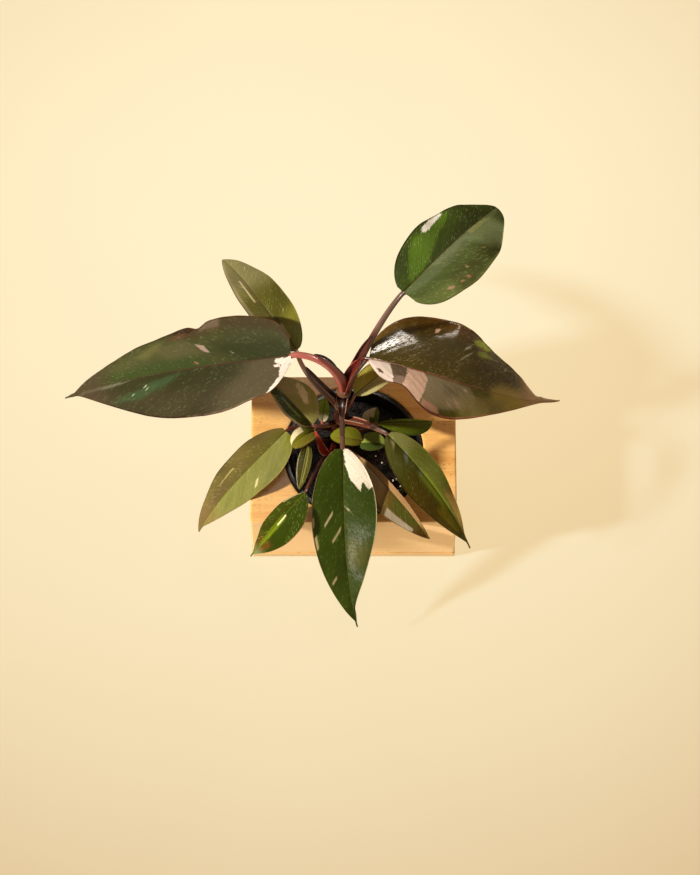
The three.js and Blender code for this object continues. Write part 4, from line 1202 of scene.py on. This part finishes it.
def bladeSurface(leaf, u, v):
    # middle surface: u from base to tip, v from -1 at the right edge to 1 at the left
    path, facing = bladeFrame(leaf)
    at, tangent = bezier(path, u)
    left = unit(np.cross(facing, tangent))
    normal = np.cross(tangent, left)
    away = np.abs(v)
    isLeft = v > 0

    def pick(name):
        return np.where(isLeft, leaf[name][0], leaf[name][1])

    outline = zip(leaf["width"], leaf["widest"], leaf["taper"], leaf["tail"])
    width = np.where(isLeft, *(most * bladeShape(u, *rest) for most, *rest in outline))
    if leaf["nick"]:
        side, place, deep, span = leaf["nick"]
        width = width * np.where(np.sign(v) == side, 1 - deep * np.exp(-(((u - place) / span) ** 2)), 1)
    for side, place, bulge, span in leaf["edges"]:
        width = width + np.where(np.sign(v) == side, bulge * np.exp(-(((u - place) / span) ** 2)), 0)
    width = np.maximum(width, blade["least"])
    reach = away * width
    angle = np.radians(pick("fold") + 0.5 * pick("curl") * away)
    high, count = leaf["wave"]
    half = np.where(isLeft, 0.0, 0.5)
    fade = np.sqrt(np.maximum(np.sin(np.pi * u), 0))
    ripple = high * away ** 2 * np.sin(2 * np.pi * (count * u + half)) * fade
    length = np.linalg.norm(np.diff(bezier(path, np.linspace(0, 1, 60))[0], axis=0), axis=1).sum()
    along = u * length
    vein = along - reach * veinSlant * (1 + 0.25 * away)
    seed, small = leaf["seed"], min(1.0, max(leaf["width"]) / 20)
    frill = small * 0.12 * high * away ** 4 * waves(along, half * 60, seed, 4, 8, 16) * fade
    buckle = small * blade["buckle"] * waves(along, v * width, seed + 100, 6, 16, 44) * fade
    buckle = buckle * (0.3 + 0.7 * away)
    gap = leaf["veinGap"] * (1 + 0.25 * waves(along, half * 40, seed + 7, 3, 40, 90))
    puff = leaf["quilt"] * np.cos(2 * np.pi * vein / gap) * smoothStep(reach, 0.8, 5) * (1 - away ** 3)
    groove = -blade["crease"] * np.exp(-(reach / 0.7) ** 2) * (1 - u)
    lift = reach * np.sin(angle) + ripple + frill + buckle + puff * fade + groove
    out = np.where(isLeft, 1, -1) * reach * np.cos(angle)
    return at + left * out[..., None] + normal * lift[..., None], along, reach, vein


def bladeMesh(leaf):
    rows, half = fineness[leaf["size"]][:2]
    i = np.arange(rows + 1)
    eased = 0.5 - 0.5 * np.cos(np.pi * i / rows)
    even = eased + (i / rows - eased) * blade["evenness"]
    u = blade["from"] + (blade["to"] - blade["from"]) * even
    w = np.linspace(-1, 1, 2 * half + 1)
    v = np.sign(w) * np.abs(w) ** blade["gather"]
    v[half] = 1e-4  # the midrib counts as the left half
    grid, spread = np.meshgrid(u, v, indexing="ij")
    point, along, reach, vein = bladeSurface(leaf, grid, spread)
    normal = unit(np.cross(np.gradient(point, axis=0), np.gradient(point, axis=1)))
    thick = blade["thick"] + (blade["thinEdge"] - blade["thick"]) * np.abs(spread) ** 3
    ribWidth = 0.6 + 1.1 * leaf["radius"][1] * (1 - grid)
    rib = blade["ribHeight"] * leaf["radius"][1] * (1 - 0.85 * grid) * np.exp(-(reach / ribWidth) ** 2)
    top = point + normal * (thick / 2)[..., None]
    under = point - normal * (thick / 2 + rib)[..., None]
    columns = len(v)
    count = (rows + 1) * columns
    points = np.concatenate([top.reshape(-1, 3), under.reshape(-1, 3)])
    faces = [gridFaces(rows + 1, columns), gridFaces(rows + 1, columns, start=count, flip=True)]
    # border round both faces: down the right edge, across the tip, back along the left edge
    k = np.arange(rows)
    loop = np.concatenate([
        k * columns, rows * columns + np.arange(columns - 1),
        (rows - k) * columns + columns - 1, np.arange(columns - 1, 0, -1),
    ])
    after = np.roll(loop, -1)
    outward = unit((top - point[:, half:half + 1]).reshape(-1, 3)[loop])
    middle = (points[loop] + points[loop + count]) / 2 + outward * blade["rimRound"]
    start = len(points)
    ring = start + np.arange(len(loop))
    ringAfter = np.roll(ring, -1)
    points = np.concatenate([points, middle])
    faces.append(np.stack([loop, ring, ringAfter, after], -1))
    faces.append(np.stack([ring, loop + count, after + count, ringAfter], -1))
    place = np.stack([along / 10, spread], -1).reshape(-1, 2)
    span = np.stack([vein / 10, reach * np.sign(spread) / 10], -1).reshape(-1, 2)
    maps = {"place": place, "span": span}
    maps = {label: np.concatenate([values, values, values[loop]]) for label, values in maps.items()}
    kinds = np.concatenate([np.full(len(f), kind) for f, kind in zip(faces, (0, 1, 0, 1))])
    return points, np.concatenate(faces).tolist(), kinds.tolist(), maps


def tubeMaps(tube, along, isSheath):
    # rings of a winged tube, with the maps that its paint reads
    rows, edge, over = tube
    place = np.stack([np.broadcast_to(along[:, None], edge.shape), edge], -1)
    span = np.stack([over, np.broadcast_to(isSheath[:, None], edge.shape)], -1)
    return rows, place.reshape(-1, 2), span.reshape(-1, 2)


def stalkMesh(leaf):
    path, facing = bladeFrame(leaf)
    stalkPath = [*leaf["stalk"], leaf["base"]]
    steps, ribSteps = fineness[leaf["size"]][2:]
    t = np.linspace(0, stalks["end"], steps)
    at, tangent = bezier(stalkPath, t)
    outward = np.array(leaf["base"], float) - np.array(leaf["stalk"][0], float)
    outward[2] = 0
    toward = np.tile(upward - unit(outward), (steps, 1))
    radius = leaf["radius"][0] + (leaf["radius"][1] - leaf["radius"][0]) * t
    u = np.linspace(*blade["ribSpan"], ribSteps)
    ribAt, ribTangent = bezier(path, u)
    thick = leaf["radius"][1] * (1 - u / 0.4) * 0.9 + 0.3
    ribAt = ribAt - facing * (0.9 * thick)[:, None]
    at = np.concatenate([at, ribAt])
    tangent = np.concatenate([tangent, ribTangent])
    blendIn = smoothStep(t, stalks["turn"], 1)[:, None]
    toward = unit(toward * (1 - blendIn) + facing * blendIn)
    toward = np.concatenate([toward, np.tile(facing, (ribSteps, 1))])
    full = np.concatenate([radius, thick])
    none = np.zeros(len(full))
    stalk = wingedTube(at, tangent, toward, full, full, full * stalks["flat"], none)
    # sheath: a thin trough on the upper side, wide at the stem, with a round free end
    wide, end = leaf["sheath"]
    s = np.linspace(0, end, steps)
    sheathAt, sheathWay = bezier(stalkPath, s)
    closing = sheaths["closing"]
    close = np.sqrt(np.maximum(1 - (np.maximum(s / end - (1 - closing), 0) / closing) ** 2, 0.004))
    half = (wide + (leaf["radius"][1] * 1.1 - wide) * (s / end) ** 2) * close
    up = np.tile(unit(np.array(leaf["sheathUp"], float)), (steps, 1))
    deep = leaf["radius"][0] * sheaths["depth"]
    sheath = wingedTube(
        sheathAt + up * (leaf["radius"][0] * sheaths["rise"]), sheathWay, up, half,
        np.full(steps, deep) * close, (sheaths["wall"] - deep) * close, half * sheaths["wings"],
    )
    points, faces, places, spans = [], [], [], []
    scale = stalks["scale"]
    stalkAlong = np.concatenate([t * scale, scale + u * 3])
    sheathAlong = s * scale + 20  # another part of the pattern
    for tube, along, isSheath in ((stalk, stalkAlong, none), (sheath, sheathAlong, np.ones(steps))):
        rows, place, span = tubeMaps(tube, along, isSheath)
        faces += tubeFaces(rows.shape[0], rows.shape[1], start=sum(len(p) for p in points))
        points.append(rows.reshape(-1, 3))
        places.append(place)
        spans.append(span)
    maps = {"place": np.concatenate(places), "span": np.concatenate(spans)}
    return np.concatenate(points), faces, maps


def bandMask(mark, along, aside, away, side, ragged):
    # away: share of the half width; side: 1 on the left half and 0 on the right
    (low, high), (inner, outer), soft = mark["span"], mark["across"], mark["soft"]
    q = along - abs(aside) * mark["slant"] + (ragged - 0.5) * mark["rag"] * 4
    v = away + (ragged - 0.5) * 0.06
    softV = min(0.2, 0.012 + soft * 0.02)
    mask = q.ease(low - soft, low + soft) * q.ease(high + soft, high - soft)
    mask = mask * v.ease(inner - softV, inner + softV) * v.ease(outer + softV, outer - softV)
    if mark["side"]:
        mask = mask * (side if mark["side"] > 0 else 1 - side)
    return mask * mark["strength"]


def patchMask(paint, mark, at, wobble, islands):
    # wobble bends the border, islands break it up
    spot = paint.vector("MULTIPLY_ADD", {0: wobble, 1: (mark["rag"], mark["rag"], 0), 2: at})
    inside = paint.insideOf(spot, mark["shape"]) + (islands - 0.5) * mark["spray"]
    return inside.ease(-mark["soft"], mark["soft"]) * mark["strength"]


def bladePaint(name, look):
    paint = newPaint(name)
    place, across = paint.uv("place")
    vein, aside = paint.uv("span")
    along = place * 10
    veinMm = vein * 10
    asideMm = aside * 10
    away = abs(across)
    side = across.ease(-0.03, 0.03)
    seed = float(look["seed"])
    ragged = paint.noise(veinMm * 0.35, asideMm * 0.12, seed, 4.0, 0.6)
    cloud = paint.noise(veinMm * 0.05, asideMm * 0.06, seed + 5, 3.0, 0.6)
    streak = paint.noise(veinMm * 0.9, asideMm * 0.07, seed + 9, 4.0, 0.65)
    color = paint.mix(tint(look["right"]), tint(look["left"]), side)
    mottled = (cloud - 0.5) * look["mottle"] * 2 + (streak - 0.5) * look["mottle"] + 1
    color = paint.scaled(color, mottled)
    # coloured bands and patches
    at = paint.join(along, asideMm, 1.0)
    wobble = paint.noise(veinMm * 0.6, asideMm * 0.16, seed + 13, 4.0, 0.65).output("Color")
    wobble = paint.vector("MULTIPLY_ADD", {0: wobble, 1: (11, 9, 0), 2: (-5.5, -4.5, 0)})
    islands = paint.noise(veinMm * 1.5, asideMm * 0.4, seed + 19, 3.0, 0.7)
    for mark in look["marks"]:
        if "span" in mark:
            mask = bandMask(mark, along, asideMm, away, side, ragged)
        else:
            mask = patchMask(paint, mark, at, wobble, islands)
        shade = paint.scaled(tint(mark["color"]), streak * 0.3 + 0.85)
        color = paint.mix(color, shade, mask)
    # specks and flecks
    spots, chance = paint.cells(veinMm * 1.2, asideMm * 0.6, seed)
    rare = chance.ease(1 - look["specks"], 1.02 - look["specks"])
    speck = spots.ease(0.5, 0.2) * rare * cloud.ease(0.35, 0.55)
    color = paint.mix(color, tint(look["speckTone"]), speck * 0.55)
    if look["flecks"]:
        flakes, luck = paint.cells(veinMm * 0.55, asideMm * 0.2, seed + 3)
        flake = flakes.ease(0.3, 0.22) * luck.ease(1 - look["flecks"], 1.01 - look["flecks"])
        color = paint.mix(color, tint(look["fleckTone"]), flake * 0.6)
    # side veins, midrib and rim
    wander = veinMm + (cloud - 0.5) * 5
    ladder = wander.math("PINGPONG", wander, look["veinGap"] / 2)
    line = ladder.ease(0.9, 0.0) * away.ease(0.02, 0.1) * away.ease(1.0, 0.8)
    color = paint.scaled(color, line * look["veinTone"] + 1)
    rib = abs(asideMm).ease(look["ribWidth"], look["ribWidth"] * 0.35) * along.ease(140, 60)
    color = paint.mix(color, tint(look["rib"]), rib * 0.85)
    color = paint.mix(color, tint(look["rim"]), away.ease(0.965, 0.995) * 0.8)
    # gloss and fine relief
    fine = paint.noise(veinMm * 3.2, asideMm * 2.2, seed, 2.0)
    pebble = paint.noise(veinMm * 1.3, asideMm * 0.6, seed + 21, 4.0, 0.65)
    rough = (fine - 0.5) * 0.12 + (cloud - 0.5) * 0.2 + look["gloss"]
    height = fine * 0.25 + streak * 0.4 + pebble * look["pebble"] * 2 - line * 0.3
    values = {"Specular_IOR_Level": look["shine"]}
    if look["coat"]:
        broken = paint.noise(veinMm * 1.1, asideMm * 0.5, seed + 27, 3.0, 0.6)
        values["Coat_Weight"] = broken.ease(0.4, 0.56) * side * look["coat"]
        values["Coat_Roughness"] = look["coatRough"]
    return paint.finish(color, rough, paint.bump(height, 0.4, 0.0006), **values)


def underPaint(name, look):
    paint = newPaint(name)
    vein, aside = paint.uv("span")
    streak = paint.noise(vein * 8, aside * 1.2, float(look["seed"]), 3.0, 0.6)
    ladder = vein.math("PINGPONG", vein, look["veinGap"] / 20)
    line = ladder.ease(0.07, 0.01)
    color = paint.scaled(tint(look["under"]), streak * 0.4 + 0.8 - line * 0.15)
    return paint.finish(color, 0.5, paint.bump(streak * 0.4 + line, 0.3, 0.0005))


def stalkPaint(name, look):
    paint = newPaint(name)
    place, edge = paint.uv("place")
    over, isSheath = paint.uv("span")
    seed = float(look["seed"])
    streak = paint.noise(place * 1.2, over * 5 + edge * 4, seed, 4.0, 0.6)
    fine = paint.noise(place * 14, over * 8, seed, 2.0)
    # painted light and shade: the upper side of a stalk takes the lighter stalkUp tone and its
    # underside the darker stalkDown tone
    lit = (over + (streak - 0.5) * 0.8).ease(-0.5, 0.35)
    color = paint.mix(tint(look["stalkDown"]), tint(look["stalkUp"]), lit)
    color = paint.mix(color, tint(look["sheathTone"]), isSheath)
    if look["wrapped"]:
        end = look["wrapped"] * stalks["scale"]
        low = place.ease(end + 0.3, end - 0.3)
        color = paint.mix(color, tint(look["sheathTone"]), low * 0.9)
    # painted shade: the upper face inside a sheath's trough is darkened to 0.6 of its colour
    inside = isSheath * over.ease(0.2, 0.7) * edge.ease(0.8, 0.2)
    color = paint.mix(color, paint.scaled(color, 0.6), inside)
    color = paint.mix(color, tint(look["stalkEdge"]), edge.ease(0.88, 0.96))
    color = paint.scaled(color, (streak - 0.5) * 0.5 + 1)
    bump = paint.bump(streak * 0.6 + fine * 0.4, 0.3, 0.0004)
    return paint.finish(color, fine * 0.15 + 0.28, bump, Coat_Weight=0.2)


def makeLeaf(name, settings):
    leaf = {**plainLeaf, **settings}
    bladePoints, bladeFaces, kinds, bladeMaps = bladeMesh(leaf)
    stalkPoints, stalkFaces, stalkMaps = stalkMesh(leaf)
    shift = len(bladePoints)
    points = np.concatenate([bladePoints, stalkPoints])
    faces = bladeFaces + [tuple(k + shift for k in face) for face in stalkFaces]
    maps = {label: np.concatenate([bladeMaps[label], stalkMaps[label]]) for label in bladeMaps}
    paints = {"Blade": bladePaint, "Under": underPaint, "Stalk": stalkPaint}
    materials = [paint(name + ending, leaf) for ending, paint in paints.items()]
    piece = addPiece(name + "_fine", points, faces, materials, kinds + [2] * len(stalkFaces), maps)
    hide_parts(name)


# Main stem with its rings and old sheath edges

stem = {
    "path": ((-12, 11, 42), (-12, 12, 78), (-9, 15, 112), (-7, 20, 143)), "radius": (6.6, 4.6),
    "knot": 0.5, "knots": 5, "ridge": 0.35, "ridgeSpan": 0.07, "bark": 0.12, "rings": 120, "sides": 48,
    "tone": "3c1a12", "deep": "1c0b08", "scar": "7a5236", "spotTone": "8a6a48",
}


def stemPaint():
    paint = newPaint("stemBark")
    place, around = paint.uv("place")
    streak = paint.noise(place * 0.8, around * 14, 2.0, 4.0, 0.6)
    fine = paint.noise(place * 9, around * 40, 4.0, 2.0)
    scar = paint.uv("span")[0]
    color = paint.mix(tint(stem["deep"]), tint(stem["tone"]), streak.ease(0.3, 0.65))
    color = paint.mix(color, tint(stem["scar"]), scar.ease(0.4, 0.9) * 0.6)
    spots, chance = paint.cells(place * 5, around * 30, 1.0)
    spot = spots.ease(0.25, 0.1) * chance.ease(0.86, 0.9) * 0.6
    color = paint.mix(color, tint(stem["spotTone"]), spot)
    bump = paint.bump(streak + fine * 0.3, 0.35, 0.0006)
    return paint.finish(color, fine * 0.2 + 0.32, bump, Coat_Weight=0.15)


def makeStem():
    t = np.linspace(0, 1, stem["rings"])
    at, tangent = bezier(stem["path"], t)
    facing = np.tile(np.array([0.0, 1.0, 0.0]), (len(t), 1))
    normal = unit(facing - tangent * np.sum(facing * tangent, -1, keepdims=True))
    side = np.cross(normal, tangent)
    around = np.linspace(0, 2 * np.pi, stem["sides"], endpoint=False)
    phase = stem["knots"] * t
    swell = stem["knot"] * np.cos(2 * np.pi * phase)
    ridge = np.exp(-(((phase + 0.5) % 1 - 0.5) / stem["ridgeSpan"]) ** 2)
    foot, top = stem["radius"]
    radius = foot + (top - foot) * t + swell + stem["ridge"] * ridge
    furrows = stem["bark"] * waves(around[None, :] * 6, t[:, None] * 100, 51, 12, 3, 20)
    reach = radius[:, None] + furrows
    points = at[:, None] + side[:, None] * (reach * np.cos(around))[..., None]
    points = points + normal[:, None] * (reach * np.sin(around))[..., None]
    wrap = np.abs(np.linspace(-1, 1, stem["sides"], endpoint=False))
    place = np.stack(np.broadcast_arrays(t[:, None] * 10, wrap[None, :]), -1).reshape(-1, 2)
    span = np.stack(np.broadcast_arrays(ridge[:, None], wrap[None, :]), -1).reshape(-1, 2)
    faces = tubeFaces(len(t), stem["sides"])
    maps = {"place": place, "span": span}
    piece = addPiece("main_stem_fine", points.reshape(-1, 3), faces, [stemPaint()], None, maps)
    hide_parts("main_stem")


# Rolled new leaf: a boat-shaped sheath, red inside, with pink edges

newLeaf = {
    "path": ((-12, 11, 76), (-19, -10, 72), (-21, -8, 88), (-28, 4, 104)), "radius": (2.6, 3.4, 0.8),
    "full": 0.6, "closing": 1.6, "flatten": 0.6, "facing": (0, -1, 0.4), "rings": 60,
    "seed": 77, "stalkUp": "b83a28", "stalkDown": "8a3a2c", "sheathTone": "b43420",
    "stalkEdge": "f4c8b4", "wrapped": 0,
}


def makeNewLeaf():
    t = np.linspace(0.12, 1, newLeaf["rings"])
    at, tangent = bezier(newLeaf["path"], t)
    foot, middle, end = newLeaf["radius"]
    full = newLeaf["full"]
    past = np.clip((t - full) / (1 - full), 0, 1)
    rising = foot + (middle - foot) * t / full
    half = np.where(t < full, rising, middle + (end - middle) * past ** newLeaf["closing"])
    toward = np.tile(unit(np.array(newLeaf["facing"], float)), (len(t), 1))
    gape = smoothStep(t, 0.15, 0.5) * smoothStep(t, 1, 0.8)
    depth = half * newLeaf["flatten"]
    tube = wingedTube(at, tangent, toward, half, depth, depth * (0.9 - 1.5 * gape), depth * gape * 0.7)
    rows, place, span = tubeMaps(tube, t * 4, gape)
    points, faces = rows.reshape(-1, 3), tubeFaces(rows.shape[0], rows.shape[1])
    maps = {"place": place, "span": span}
    piece = addPiece("new_leaf_fine", points, faces, [stalkPaint("newLeafSkin", newLeaf)], None, maps)
    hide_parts("new_leaf_sheath")


# Building everything

scene.view_settings.view_transform = "Standard"
makeCamera()
makeSky()
makeLights()
makeFloor()
print("camera, lights and floor made")
makeBlock()
makeBoard()
makePot()
print("block, board and pot made")
makeSoil()
for lumpName, lumpSettings in lumps.items():
    scatterLumps(lumpName, **lumpSettings)
makeBark()
makeMoss()
print("soil made")
makeStem()
makeNewLeaf()
for leafName, leafSettings in leaves.items():
    makeLeaf(leafName, leafSettings)
print("leaves made")
